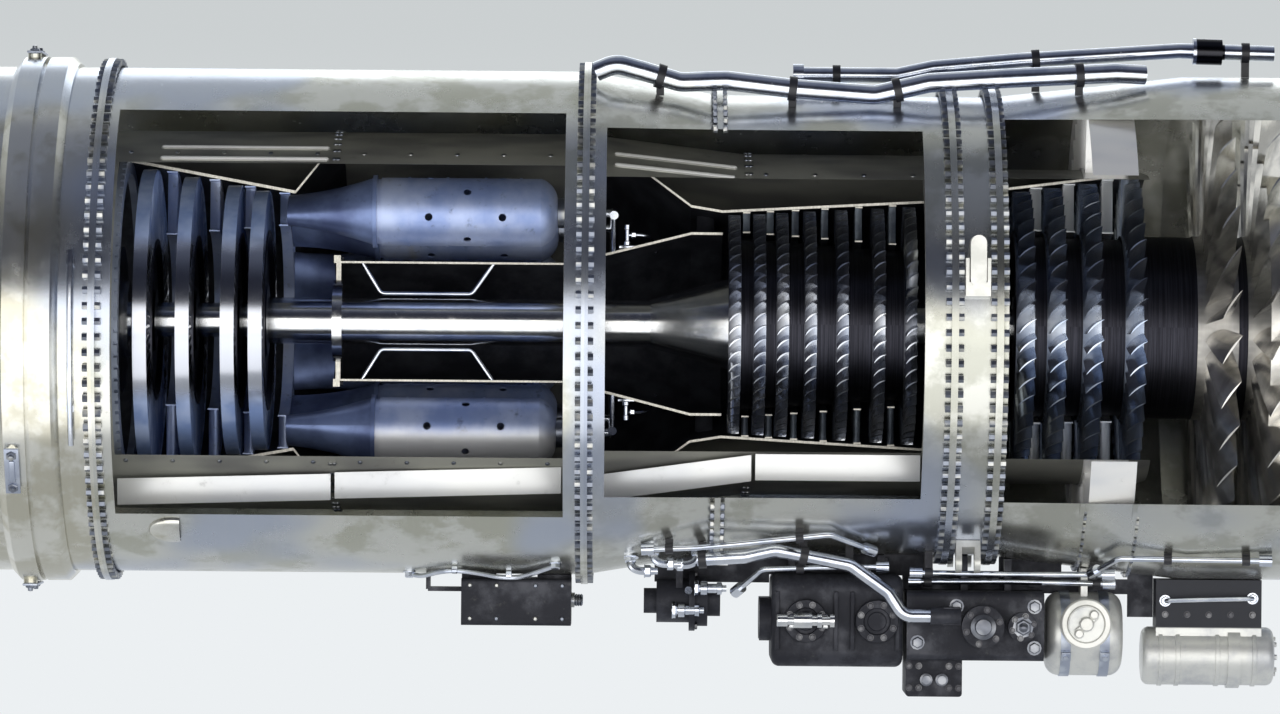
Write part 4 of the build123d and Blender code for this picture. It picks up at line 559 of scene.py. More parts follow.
GREY_OLIVE = (0.50, 0.50, 0.43)
DISC_GREY = (0.022, 0.022, 0.028)
finishes = {
    "rear_skin": duct_sheet("rear_skin", (0.66, 0.66, 0.62), GREY_OLIVE, (0.47, 0.51, 0.60), 0.20),
    "front_skin": duct_sheet("front_skin", (0.60, 0.60, 0.56), (0.44, 0.44, 0.39), (0.42, 0.46, 0.56), 0.20),
    "tail_skin": duct_sheet("tail_skin", (0.74, 0.73, 0.67), (0.56, 0.54, 0.45), (0.50, 0.54, 0.62), 0.18),
    # The last colour is the beads' painted highlight.
    "core_skin": core_sheet("core_skin", (0.40, 0.40, 0.36), (0.24, 0.24, 0.23), (0.88, 0.88, 0.86)),
    "band_sheet": core_sheet("band_sheet", (0.88, 0.88, 0.87), (0.76, 0.77, 0.79)),
    "vane_skin": core_sheet("vane_skin", (0.90, 0.89, 0.87), (0.74, 0.75, 0.77)),
    "cut_case": cut_case("cut_case", (0.020, 0.021, 0.028), 0.0016),
    "rear_case": cut_case("rear_case", (0.034, 0.036, 0.046), 0.0016),
    "fan_blades": bladed(
        "fan_blades", (-0.25, 0.19), (-0.40, 0.19),
        (0.46, 0.45, 0.43), (0.88, 0.85, 0.79), DISC_GREY, 0.18, 0.92,
    ),
    "low_blades": bladed(
        "low_blades", (-0.525, 0.19), (-0.748, 0.196),
        (0.36, 0.42, 0.54), (0.66, 0.71, 0.80), DISC_GREY, 0.15, 0.95,
    ),
    "high_blades": bladed(
        "high_blades", (-0.981, 0.162), (-1.341, 0.188),
        (0.34, 0.37, 0.45), (0.68, 0.70, 0.74), DISC_GREY, 0.15, 0.95,
    ),
    # The turbine rings' blue is painted light, shown only in bands at the top and bottom of each ring.
    "turbine_blades": bladed(
        "turbine_blades", (-2.316, 0.186), (-2.547, 0.166), (0.24, 0.34, 0.62), (0.44, 0.54, 0.80),
        DISC_GREY, 0.13, 0.15, painted_height_light=True,
    ),
    "stator_vanes": cut_case("stator_vanes", (0.13, 0.15, 0.19), 0.0008),
    "pale_vanes": core_sheet("pale_vanes", (0.84, 0.86, 0.89), (0.54, 0.59, 0.70)),
    "nozzle_vanes": heat_tint("nozzle_vanes", (0.34, 0.44, 0.74), (0.58, 0.66, 0.88), 0.3),
    "slotted_ring": core_sheet("slotted_ring", (0.34, 0.38, 0.47), (0.20, 0.23, 0.30)),
    # The pale colour is the cans' painted floor reflection at the bottom.
    "burner_sheet": heat_tint(
        "burner_sheet", (0.27, 0.36, 0.66), (0.50, 0.58, 0.82), 0.34, pale=(0.90, 0.90, 0.92)
    ),
    "transition_sheet": heat_tint("transition_sheet", (0.09, 0.12, 0.25), (0.22, 0.29, 0.52), 0.3),
    "shaft_steel": drawn_tube("shaft_steel", (0.84, 0.84, 0.84), (0.66, 0.68, 0.72), 0.14),
    "tube_steel": drawn_tube("tube_steel", (0.74, 0.77, 0.84), (0.56, 0.60, 0.70), 0.15),
    "sleeved_tube": drawn_tube(
        "sleeved_tube", (0.74, 0.77, 0.84), (0.56, 0.60, 0.70), 0.15, BLEED_SLEEVE_X
    ),
    "bolt_steel": plated("bolt_steel", (0.52, 0.52, 0.50), (0.24, 0.26, 0.31), 0.24),
    "plug_steel": plated("plug_steel", (0.36, 0.37, 0.40), (0.18, 0.19, 0.22), 0.26),
    "dull_bolt": plated("dull_bolt", (0.20, 0.20, 0.21), (0.09, 0.09, 0.10), 0.3),
    "ring_steel": plated("ring_steel", (0.62, 0.66, 0.74), (0.46, 0.50, 0.60), 0.3),
    "clamp_black": black_paint("clamp_black", (0.022, 0.022, 0.028)),
    "cast_dark": dark_cast("cast_dark", (0.020, 0.021, 0.030), (0.050, 0.052, 0.066)),
    "cast_light": cast_light("cast_light", (0.80, 0.80, 0.77), (0.58, 0.59, 0.60)),
    # The starter is nearly black above its cradle height: painted shade and dark hanger metal.
    "starter_cast": cast_light("starter_cast", (0.80, 0.80, 0.77), (0.58, 0.59, 0.61), STARTER_SHADE_Z),
    "lug_white": cast_light("lug_white", (0.84, 0.83, 0.79), (0.66, 0.66, 0.62)),
}
node_finishes = {
    "rear_skin": ["outer_duct_rear"],
    "front_skin": ["outer_duct_front", "fan_case", "intermediate_case", "inlet_case", "nose_dome"],
    "tail_skin": ["exhaust_duct", "rear_mount_ring"],
    "core_skin": ["inner_duct_front", "inner_duct_rear", "fan_inner_duct"],
    "vane_skin": ["fan_exit_vanes"],
    "cut_case": ["low_compressor_case", "high_compressor_case", "diffuser_case", "combustor_inner_case"],
    "rear_case": ["turbine_case", "turbine_exhaust_case", "tail_cone"],
    "fan_blades": ["fan_stage_1", "fan_stage_2"],
    "low_blades": ["low_compressor_rotor"],
    "high_blades": ["high_compressor_rotor"],
    "turbine_blades": [
        "high_turbine_stage", "low_turbine_stage_1", "low_turbine_stage_2", "low_turbine_stage_3",
    ],
    "stator_vanes": ["high_stator_vanes"],
    "pale_vanes": ["low_stator_vanes"],
    "nozzle_vanes": ["turbine_nozzle_vanes"],
    "burner_sheet": ["combustion_cans", "cross_fire_tubes"],
    "transition_sheet": ["transition_ducts"],
    "shaft_steel": ["low_shaft", "high_shaft", "main_bearings"],
    "sleeved_tube": ["bleed_pipe_upper"],
    "tube_steel": [
        "bleed_pipe_lower", "oil_return_pipe", "fuel_lines",
        "fuel_manifold", "bearing_oil_tubes", "probe_tube",
    ],
    "bolt_steel": ["rear_flange_bolts", "centre_flange_bolts", "front_flange_bolts", "fuel_nozzles"],
    "slotted_ring": ["turbine_rear_ring"],
    "clamp_black": ["pipe_clamps"],
    "cast_dark": ["accessory_gearbox", "fuel_control", "fuel_pump", "ignition_box"],
    "cast_light": ["oil_tank"],
    "starter_cast": ["starter"],
    "lug_white": ["port_cover", "mount_clevises"],
}
for finish, names in node_finishes.items():
    for name in names:
        mesh = nodes[name].data
        mesh.materials.clear()
        mesh.materials.append(finishes[finish])


# Small forms that the fittings share
def spun(stations, steps):
    """A form turned about local Z from (radius, height) stations."""
    made = bmesh.new()
    rim = [made.verts.new((radius, 0, height)) for radius, height in stations]
    edges = [made.edges.new(pair) for pair in zip(rim, rim[1:])]
    bmesh.ops.spin(
        made, geom=rim + edges, axis=(0, 0, 1), angle=math.tau, steps=steps, use_merge=True
    )
    return made


def hexagon(radius, height, washer):
    """A hexagon head with softened corners on a thin washer."""
    made = bmesh.new()
    lift = Matrix.Translation((0, 0, height / 2))
    bmesh.ops.create_cone(
        made, cap_ends=True, segments=6, radius1=radius, radius2=radius, depth=height, matrix=lift
    )
    crown = [edge for edge in made.edges if min(v.co.z for v in edge.verts) > height / 2]
    bmesh.ops.bevel(
        made, geom=crown, offset=radius * 0.16, affect="EDGES", segments=1, profile=0.5, material=-1
    )
    sunk = Matrix.Translation((0, 0, height * 0.08))
    bmesh.ops.create_cone(
        made, cap_ends=True, segments=12, radius1=washer, radius2=washer, depth=height * 0.16, matrix=sunk
    )
    return made


def soft_block(size, edge):
    """A block with rounded edges, standing on local Z = 0."""
    made = bmesh.new()
    bmesh.ops.create_cube(made, size=1.0)
    bmesh.ops.scale(made, verts=made.verts, vec=size)
    bmesh.ops.translate(made, verts=made.verts, vec=(0, 0, size[2] / 2))
    bmesh.ops.bevel(
        made, geom=made.edges[:], offset=edge, affect="EDGES", segments=2, profile=0.5, material=-1
    )
    return made


def stamp(shape, unit, places):
    """Copies of a small form at each place."""
    bmesh.ops.remove_doubles(unit, verts=unit.verts, dist=MERGE)
    bmesh.ops.recalc_face_normals(unit, faces=unit.faces)
    mesh = bpy.data.meshes.new("unit")
    unit.to_mesh(mesh)
    unit.free()
    for place in places:
        start = len(shape.verts)
        shape.from_mesh(mesh)
        shape.verts.ensure_lookup_table()
        bmesh.ops.transform(shape, matrix=place, verts=shape.verts[start:])
    bpy.data.meshes.remove(mesh)


def bent_tube(shape, points, radius):
    """A round tube that follows one smooth line near the points."""
    line = bpy.data.curves.new("tube", "CURVE")
    line.dimensions = "3D"
    line.bevel_depth = radius
    line.bevel_resolution = 3
    line.use_fill_caps = True
    line.resolution_u = 6
    spline = line.splines.new("NURBS")
    spline.points.add(len(points) - 1)
    for spot, point in zip(spline.points, points):
        spot.co = (*point, 1)
    spline.order_u = 3
    spline.use_endpoint_u = True
    holder = bpy.data.objects.new("tube", line)
    mesh = bpy.data.meshes.new_from_object(holder)
    shape.from_mesh(mesh)
    bpy.data.objects.remove(holder)
    bpy.data.curves.remove(line)
    bpy.data.meshes.remove(mesh)


def on_skin(angle, radius, x):
    """A point at an angle about the axis: 0 is the cut side, 90 the top."""
    turn = math.radians(angle)
    return Vector((x, -radius * math.cos(turn), radius * math.sin(turn)))


def standing(angle, radius, x):
    """A place on the skin with local Z away from the axis and local X along it."""
    out = on_skin(angle, 1, 0)
    place = Matrix((AXIS_X, out.cross(AXIS_X), out)).transposed().to_4x4()
    place.translation = on_skin(angle, radius, x)
    return place


def facing(point, direction):
    """A place with local Z along a direction."""
    turn = Vector(direction).to_track_quat("Z", "Y").to_matrix().to_4x4()
    return Matrix.Translation(point) @ turn


def around(centre, direction, radius, count, start=0.0):
    """Places on a bolt circle about a point, all facing one way."""
    base = facing(centre, direction)
    spots = []
    for k in range(count):
        spin = Matrix.Rotation(math.tau * k / count + start, 4, "Z")
        spots.append(base @ spin @ Matrix.Translation((radius, 0, 0)))
    return spots


def arc_places(x, radius, first, last, step):
    """Places on the skin at one station, from one angle to another."""
    count = int((last - first) / step) + 1
    return [standing(first + step * k, radius, x) for k in range(count)]


def fit(name, shape, finish, body="casing"):
    """Make a fitting from its shape, and let it ride on a body."""
    mesh = bpy.data.meshes.new(name)
    shape.to_mesh(mesh)
    shape.free()
    for face in mesh.polygons:
        face.use_smooth = True
    mesh.set_sharp_from_angle(angle=SHARP)
    mesh.materials.append(finishes[finish])
    piece = bpy.data.objects.new(name, mesh)
    bpy.context.scene.collection.objects.link(piece)
    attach(piece, body)


# Fittings on the ducts
def make_duct_screws():
    """Pan head screws along the inner ducts' seams and window edges."""
    shape = bmesh.new()
    head = spun([(0, 0.0032), (0.0026, 0.003), (0.0046, 0.0018), (0.005, 0), (0, 0)], 10)
    places = []
    for x, radius, first, last, step in SEAM_SCREW_ARCS:
        places += arc_places(x, radius, first, last, step)
    for angle, radius, front_x, pitch, count in EDGE_SCREW_ROWS:
        places += [standing(angle, radius, front_x - pitch * k) for k in range(count)]
    stamp(shape, head, places)
    fit("duct_screws", shape, "bolt_steel")


def make_taper_flange_bolts():
    """Heads and nuts on the flange where the front duct begins to widen."""
    shape = bmesh.new()
    places = []
    for side in (1, -1):
        x = TAPER_FLANGE_X + side * TAPER_FLANGE_HALF
        for k in range(TAPER_BOLTS):
            spot = on_skin(TAPER_BOLTS_FIRST + TAPER_BOLTS_STEP * k, TAPER_BOLTS_R, x)
            places.append(facing(spot, (side, 0, 0)))
    stamp(shape, hexagon(*FLANGE_NUT), places)
    fit("taper_flange_bolts", shape, "bolt_steel")


def make_duct_scoop():
    """A half moon air scoop on the lower rear duct, open to the front."""
    shape = bmesh.new()
    bmesh.ops.create_uvsphere(shape, u_segments=40, v_segments=20, radius=1.0)
    bmesh.ops.scale(shape, verts=shape.verts, vec=SCOOP_SIZE)
    for point, direction in (((0, 0, 0), (0, 0, -1)), ((SCOOP_MOUTH_X, 0, 0), AXIS_X)):
        everything = shape.verts[:] + shape.edges[:] + shape.faces[:]
        bmesh.ops.bisect_plane(shape, geom=everything, plane_co=point, plane_no=direction, clear_outer=True)
    bmesh.ops.recalc_face_normals(shape, faces=shape.faces)
    bmesh.ops.solidify(shape, geom=shape.faces[:], thickness=SCOOP_WALL)
    bmesh.ops.transform(shape, matrix=standing(*SCOOP_PLACE), verts=shape.verts)
    fit("duct_scoop", shape, "tail_skin")


def make_ring_links():
    """Link plates that join the lugs of the rear mount ring in pairs."""
    shape = bmesh.new()
    for angle, length, radius in RING_LINKS:
        place = standing(angle, radius, MOUNT_LUG_X)
        stamp(shape, soft_block((LINK_PLATE[0], length, LINK_PLATE[1]), 0.0015), [place])
        stamp(shape, soft_block((LINK_RIB[0], length * LINK_RIB_SHARE, LINK_RIB[1]), 0.003), [place])
    fit("ring_links", shape, "ring_steel")


def make_ring_nuts():
    """Nuts on the lugs of the rear mount ring."""
    shape = bmesh.new()
    places = [standing(angle, MOUNT_LUG_TOP, MOUNT_LUG_X) for angle in MOUNT_LUG_ANGLES]
    stamp(shape, hexagon(*RING_NUT), places)
    stamp(shape, spun([(0, 0.017), (0.005, 0.016), (0.006, 0.009), (0, 0.009)], 12), places)
    fit("ring_nuts", shape, "bolt_steel")


def make_dome_screws():
    """Screws round the edge of the inlet dome."""
    shape = bmesh.new()
    places = around((DOME_EDGE_X, 0, 0), AXIS_X, DOME_SCREWS_R, DOME_SCREWS)
    stamp(shape, spun([(0, 0.0035), (0.004, 0.003), (0.006, 0), (0, 0)], 10), places)
    fit("dome_screws", shape, "bolt_steel")


def make_edge_bands():
    """Flat bands with a returned lip along the lower window edges of the inner ducts."""
    shape = bmesh.new()
    runs = (
        ((-1.692, -0.2592, -0.294), (-2.152, -0.2505, -0.3085)),
        ((-2.160, -0.2490, -0.3115), (-2.594, -0.2380, -0.3250)),
        ((-0.963, -0.2440, -0.264), (-1.298, -0.2440, -0.264)),
        ((-1.306, -0.2440, -0.266), (-1.610, -0.2500, -0.308)),
    )
    for front, rear in runs:
        ends = []
        for x, y, z in (front, rear):
            ends.append([shape.verts.new((x, y + back, z - down)) for back, down in EDGE_BAND_SECTION])
        near, far = [shape.faces.new(ring) for ring in ends]
        bmesh.ops.bridge_loops(shape, edges=near.edges[:] + far.edges[:])
    bmesh.ops.recalc_face_normals(shape, faces=shape.faces)
    sharp = [edge for edge in shape.edges if edge.calc_face_angle(0) > 0.5]
    bmesh.ops.bevel(
        shape, geom=sharp, offset=EDGE_BAND_ROUNDING, affect="EDGES", segments=2, profile=0.5, material=-1
    )
    fit("edge_bands", shape, "band_sheet")


# Fittings of the fuel and oil lines
def make_duct_elbows():
    """Elbow unions on the widening duct, each with a hexagon foot and a nut."""
    shape = bmesh.new()
    spots = ((-71.5, 0.504, -1.55, 1), (-69, 0.496, -1.503, 1), (-75.5, 0.481, -1.414, -1))
    for angle, radius, x, towards in spots:
        foot = standing(angle, radius, x)
        stamp(shape, hexagon(*ELBOW_FOOT), [foot])
        bend = ((0, 0, 0.008), (0, 0, ELBOW_RISE), (towards * ELBOW_REACH, 0, ELBOW_RISE))
        points = [foot @ Vector(point) for point in bend]
        bent_tube(shape, points, ELBOW_TUBE_R)
        end = facing(points[-1], (towards, 0, 0))
        stamp(shape, hexagon(*ELBOW_NUT), [end])
        nose = spun([(0.009, 0.014), (0.007, 0.022), (0.007, 0.028), (0, 0.028)], 14)
        stamp(shape, nose, [end])
    fit("duct_elbows", shape, "tube_steel")


def make_diffuser_posts():
    """Posts with foot plates on the diffuser's inner wall, and the small pipes that branch off them."""
    shape = bmesh.new()
    for side, top in ((1, 0.204), (-1, 0.200)):
        foot = Vector((POST_FOOT_X, POST_FOOT_Y, side * DIFFUSER_INNER_R))
        up = (0, 0, side)
        stamp(shape, soft_block(*POST_FOOT), [facing(foot, up)])
        height = top - DIFFUSER_INNER_R
        post = [(0, 0), (0.0075, 0), (0.0075, 0.014), (0.0045, 0.016), (0.0045, height - 0.010)]
        post += [(0.006, height - 0.009), (0.006, height), (0, height)]
        stamp(shape, spun(post, 14), [facing(foot, up)])
        branch = (
            (0, 0, POST_BRANCH_Z), (0.026, 0, 0.030), (0.048, 0.010, 0.024), (0.058, 0.050, 0.008),
            (0.060, 0.062, -0.006),
        )
        bent_tube(shape, [foot + Vector((x, y, side * z)) for x, y, z in branch], POST_BRANCH_R)
        nuts = [facing(foot + Vector((0.008, 0, side * POST_BRANCH_Z)), AXIS_X)]
        stamp(shape, hexagon(*POST_NUT), nuts)
    fit("diffuser_posts", shape, "tube_steel")


def make_pump_unions():
    """Turned unions on the near side of the fuel pump."""
    shape = bmesh.new()
    profile = [
        (0, 0), (0.009, 0), (0.009, 0.012), (0.015, 0.013), (0.015, 0.026), (0.010, 0.028),
        (0.010, 0.046), (0.013, 0.047), (0.013, 0.056), (0.007, 0.058), (0.007, 0.066), (0, 0.066),
    ]
    places = [facing(spot, AXIS_X) for spot in ((-1.418, -0.060, -0.545), (-1.464, -0.054, -0.590))]
    stamp(shape, spun(profile, 18), places)
    stamp(shape, hexagon(*UNION_NUT), places)
    posts = [facing((-1.430, -0.040, -0.556), (0, -1, 0.3)), facing((-1.444, -0.030, -0.586), NEAR)]
    stamp(shape, spun([(0, 0), (0.008, 0), (0.008, 0.024), (0, 0.024)], 12), posts)
    fit("pump_unions", shape, "tube_steel")


def make_lead_tube():
    """The igniter lead along the duct's underside, from the bracket to the centre flange."""
    shape = bmesh.new()
    stations = (
        (-81.5, 0.524, -2.005), (-81, 0.533, -1.985), (-76, 0.529, -1.945), (-74.5, 0.5285, -1.91),
        (-77, 0.529, -1.86), (-80, 0.533, -1.82), (-80, 0.533, -1.775), (-74, 0.530, -1.735),
        (-71, 0.527, -1.705),
    )
    bent_tube(shape, [on_skin(*station) for station in stations], LEAD_TUBE_R)
    ends = [standing(-81.5, REAR_SKIN_R, -2.005), standing(-71, REAR_SKIN_R, -1.703)]
    stamp(shape, hexagon(*LEAD_NUT), ends)
    saddles = [standing(-74.5, REAR_SKIN_R, -1.91), standing(-80, REAR_SKIN_R, -1.80)]
    stamp(shape, soft_block(*LEAD_SADDLE), saddles)
    fit("igniter_lead", shape, "tube_steel")


# Fittings of the accessories
def make_shade_plate():
    """A dark bracket plate behind the lines, from the duct's underside down to the accessories: partly a
    real carrier, and partly a dark sheet of painted shade that fills the shadow under the duct.
    """
    stations = (
        (-1.500, -0.494, -0.535), (-1.402, -0.478, -0.535), (-1.402, -0.500, -0.535),
        (-1.348, -0.500, -0.535), (-1.348, -0.473, -0.535), (-1.262, -0.473, -0.535),
        (-1.262, -0.473, -0.518), (-0.986, -0.473, -0.518), (-0.986, -0.473, -0.551),
        (-0.938, -0.473, -0.551), (-0.938, -0.508, -0.551), (-0.786, -0.508, -0.551),
        (-0.786, -0.477, -0.551), (-0.656, -0.491, -0.553), (-0.656, -0.510, -0.553),
        (-0.624, -0.510, -0.553), (-0.624, -0.495, -0.553), (-0.551, -0.503, -0.553),
        (-0.551, -0.522, -0.553), (-0.519, -0.522, -0.553), (-0.519, -0.508, -0.600),
        (-0.466, -0.514, -0.600),
    )
    shape = bmesh.new()
    upper = [shape.verts.new((x, SHADE_PLATE_Y, top)) for x, top, bottom in stations]
    lower = [shape.verts.new((x, SHADE_PLATE_Y, bottom)) for x, top, bottom in stations]
    shape.faces.new(upper + lower[::-1])
    bmesh.ops.remove_doubles(shape, verts=shape.verts, dist=MERGE)
    bmesh.ops.triangulate(shape, faces=shape.faces)
    wall = bmesh.ops.extrude_face_region(shape, geom=shape.faces[:])["geom"]
    moved = [part for part in wall if isinstance(part, bmesh.types.BMVert)]
    bmesh.ops.translate(shape, verts=moved, vec=(0, SHADE_PLATE_THICKNESS, 0))
    bmesh.ops.recalc_face_normals(shape, faces=shape.faces)
    bolts = [facing((x, SHADE_PLATE_Y, z), NEAR) for z, row in CARRIER_BOLT_ROWS for x in row]
    stamp(shape, hexagon(*CARRIER_BOLT), bolts)
    fit("shade_plate", shape, "cast_dark")


def make_gearbox_ribs():
    """Cast ribs and cover rims on the near face of the gearbox."""
    shape = bmesh.new()
    rib_y = GEARBOX_FACE_Y + GEARBOX_RIB_SINK
    ribs = [facing((x, rib_y, GEARBOX_Z), NEAR) for x in GEARBOX_RIBS_X]
    stamp(shape, soft_block(*GEARBOX_RIB), ribs)
    lid_y = GEARBOX_FACE_Y - GEARBOX_PAD_HEIGHT
    lids = [facing((x, lid_y, GEARBOX_Z), NEAR) for x in GEARBOX_PADS_X]
    lid = [
        (0, 0.006), (0.018, 0.006), (0.020, 0.004), (0.026, 0.004), (0.028, 0.009), (0.043, 0.009),
        (0.0445, 0.004), (0.0445, 0), (0, 0),
    ]
    stamp(shape, spun(lid, 36), lids)
    fit("gearbox_ribs", shape, "cast_dark")


def make_gearbox_shaft():
    """The bright stepped shaft that lies across the gearbox, on two saddles."""
    shape = bmesh.new()
    profile = [
        (0, 0), (0.012, 0), (0.014, 0.002), (0.014, 0.022), (0.010, 0.023), (0.010, 0.034), (0.017, 0.035),
        (0.017, 0.072), (0.012, 0.073), (0.012, 0.082), (0.016, 0.083), (0.016, 0.092), (0.010, 0.093),
        (0.010, 0.108), (0.015, 0.109), (0.015, 0.118), (0, 0.118),
    ]
    stamp(shape, spun(profile, 24), [facing(GEARBOX_SHAFT_START, AXIS_X)])
    saddle_y = GEARBOX_FACE_Y - SHAFT_SADDLE_RISE
    saddles = [facing((x, saddle_y, GEARBOX_Z), NEAR) for x in SHAFT_SADDLES_X]
    stamp(shape, soft_block(*SHAFT_SADDLE), saddles)
    fit("gearbox_shaft", shape, "shaft_steel")


def make_cover_bolts():
    """Bolts round the covers of the gearbox, the fuel control and the pump, and on the starter's cradle."""
    shape = bmesh.new()
    places = []
    for x in GEARBOX_PADS_X:
        centre = (x, GEARBOX_FACE_Y - GEARBOX_LID_TOP, GEARBOX_Z)
        places += around(centre, NEAR, GEARBOX_LID_BOLTS_R, 8, 0.4)
    for x, radius in zip(CONTROL_DOMES_X, CONTROL_DOMES_R):
        places += around((x, CONTROL_DOME_Y, CONTROL_Z), NEAR, radius - DOME_BOLT_MARGIN, 6, 0.3)
    places += around((PUMP_FACE_X, 0, PUMP_Z), AXIS_X, PUMP_BOLTS_R, 8, 0.3)
    places += [facing((x, SUMP_FACE_Y, z), NEAR) for x in SUMP_BOLTS_X for z in SUMP_BOLTS_Z]
    places += [facing((x, CRADLE_FACE_Y, CRADLE_BOLTS_Z), NEAR) for x in CRADLE_BOLTS_X]
    stamp(shape, hexagon(*COVER_BOLT), places)
    fit("cover_bolts", shape, "dull_bolt")


def make_control_plugs():
    """Large hexagon plugs and adjuster stems on the fuel control."""
    shape = bmesh.new()
    large, small = [facing((x, CONTROL_DOME_Y, CONTROL_Z), NEAR) for x in CONTROL_DOMES_X]
    stamp(shape, hexagon(*STEM_PLUG), [small])
    stem = [(0.010, 0.014), (0.007, 0.016), (0.007, 0.026), (0.004, 0.028), (0, 0.028)]
    stamp(shape, spun(stem, 16), [small])
    knob = [
        (0, 0), (0.024, 0), (0.026, 0.003), (0.026, 0.010), (0.018, 0.013), (0.016, 0.020),
        (0.006, 0.022), (0, 0.022),
    ]
    stamp(shape, spun(knob, 28), [large])
    sump = [(0, 0), (0.013, 0), (0.013, 0.010), (0.009, 0.011), (0.009, 0.020), (0, 0.020)]
    spots = [(x, SUMP_FACE_Y, SUMP_PLUG_Z) for x in SUMP_PLUGS_X]
    stamp(shape, spun(sump, 16), [facing(spot, NEAR) for spot in spots])
    spots = [(x, CONTROL_FACE_Y, z) for x, z in CONTROL_PLUG_SPOTS]
    stamp(shape, hexagon(*CONTROL_PLUG), [facing(spot, NEAR) for spot in spots])
    fit("control_plugs", shape, "plug_steel")


def make_tank_cap():
    """The filler cap's rim and its folding lever."""
    shape = bmesh.new()
    rim = [(0.050, -0.010), (0.0525, -0.009), (0.0525, 0), (0.049, 0.003), (0.040, 0.003), (0.0365, 0)]
    made = spun(rim, 40)
    bmesh.ops.holes_fill(made, edges=made.edges, sides=0)
    stamp(shape, made, [facing((TANK_X, TANK_CAP_Y + TANK_CAP_SINK, TANK_CAP_Z), NEAR)])
    lever = soft_block(*CAP_LEVER)
    tilt = Matrix.Rotation(CAP_LEVER_TURN, 4, "Z")
    hub = facing((TANK_X, TANK_CAP_Y - 0.0003, TANK_CAP_Z), NEAR)
    stamp(shape, lever, [hub @ tilt])
    boss = [(0, 0), (0.0155, 0), (0.0155, 0.010), (0.012, 0.013), (0, 0.013)]
    stamp(shape, spun(boss, 20), [hub])
    lobes = [hub @ tilt @ Matrix.Translation((side * 0.024, side * 0.006, 0)) for side in (1, -1)]
    stamp(shape, spun([(0, 0), (0.010, 0), (0.010, 0.009), (0.007, 0.012), (0, 0.012)], 16), lobes)
    fit("tank_cap", shape, "lug_white")


def make_tank_straps():
    """Two straps round the oil tank, each with a tension bolt."""
    shape = bmesh.new()
    band = [(0.0862, -0.010), (0.0885, -0.010), (0.0885, 0.010), (0.0862, 0.010), (0.0862, -0.010)]
    for x in STRAPS_X:
        stamp(shape, spun(band, 64), [facing((x, 0, TANK_Z), AXIS_X)])
        buckle = facing((x, STRAP_BUCKLE_Y, STRAP_BUCKLE_Z), STRAP_BUCKLE_FACES)
        stamp(shape, soft_block(*STRAP_BUCKLE), [buckle])
        stamp(shape, hexagon(*STRAP_BOLT), [buckle @ Matrix.Translation((0, 0, STRAP_BUCKLE[0][2]))])
    fit("tank_straps", shape, "ring_steel")


def make_starter_rings():
    """Raised rings and end bolts on the starter drum."""
    shape = bmesh.new()
    ring = [(0.0595, -0.005), (0.0625, -0.004), (0.0625, 0.004), (0.0595, 0.005), (0.0595, -0.005)]
    places = [facing((x, 0, STARTER_Z), AXIS_X) for x in STARTER_RINGS_X]
    stamp(shape, spun(ring, 56), places)
    ends = around((STARTER_FRONT_X, 0, STARTER_Z), AXIS_X, STARTER_END_BOLTS_R, 8)
    stamp(shape, hexagon(*COVER_BOLT), ends)
    fit("starter_rings", shape, "cast_light")


def make_cradle_rail():
    """A thin pipe across the face of the starter's cradle."""
    shape = bmesh.new()
    stations = (
        (-0.446, 0, -0.006), (-0.446, 0.020, -0.006), (-0.426, 0.022, -0.004), (-0.290, 0.022, 0),
        (-0.266, 0.020, 0), (-0.266, 0, 0),
    )
    points = [(x, CRADLE_FACE_Y - out, CRADLE_RAIL_Z + up) for x, out, up in stations]
    bent_tube(shape, points, CRADLE_RAIL_R)
    stamp(shape, hexagon(*RAIL_FOOT), [facing(point, NEAR) for point in (points[0], points[-1])])
    fit("cradle_rail", shape, "tube_steel")


def make_igniter_fittings():
    """Lid screws and threaded plugs on the ignition box."""
    shape = bmesh.new()
    screws = [facing((x, IGNITER_FACE_Y, z), NEAR) for x in IGNITER_SCREWS_X for z in IGNITER_SCREWS_Z]
    stamp(shape, spun([(0, 0.003), (0.003, 0.0026), (0.005, 0), (0, 0)], 10), screws)
    plug = [
        (0, 0), (0.014, 0), (0.014, 0.007), (0.010, 0.008), (0.0115, 0.011), (0.010, 0.013), (0.0115, 0.016),
        (0.010, 0.018), (0.0115, 0.021), (0.009, 0.024), (0, 0.024),
    ]
    plugs = [facing((IGNITER_FRONT_X, y, IGNITER_PLUG_Z), AXIS_X) for y in IGNITER_PLUGS_Y]
    stamp(shape, spun(plug, 18), plugs)
    fit("igniter_fittings", shape, "bolt_steel")


make_duct_screws()
make_taper_flange_bolts()
make_duct_scoop()
make_edge_bands()
make_ring_links()
make_ring_nuts()
make_dome_screws()
make_duct_elbows()
make_diffuser_posts()
make_pump_unions()
make_lead_tube()
make_shade_plate()
make_gearbox_ribs()
make_gearbox_shaft()
make_cover_bolts()
make_control_plugs()
make_tank_cap()
make_tank_straps()
make_starter_rings()
make_cradle_rail()
make_igniter_fittings()


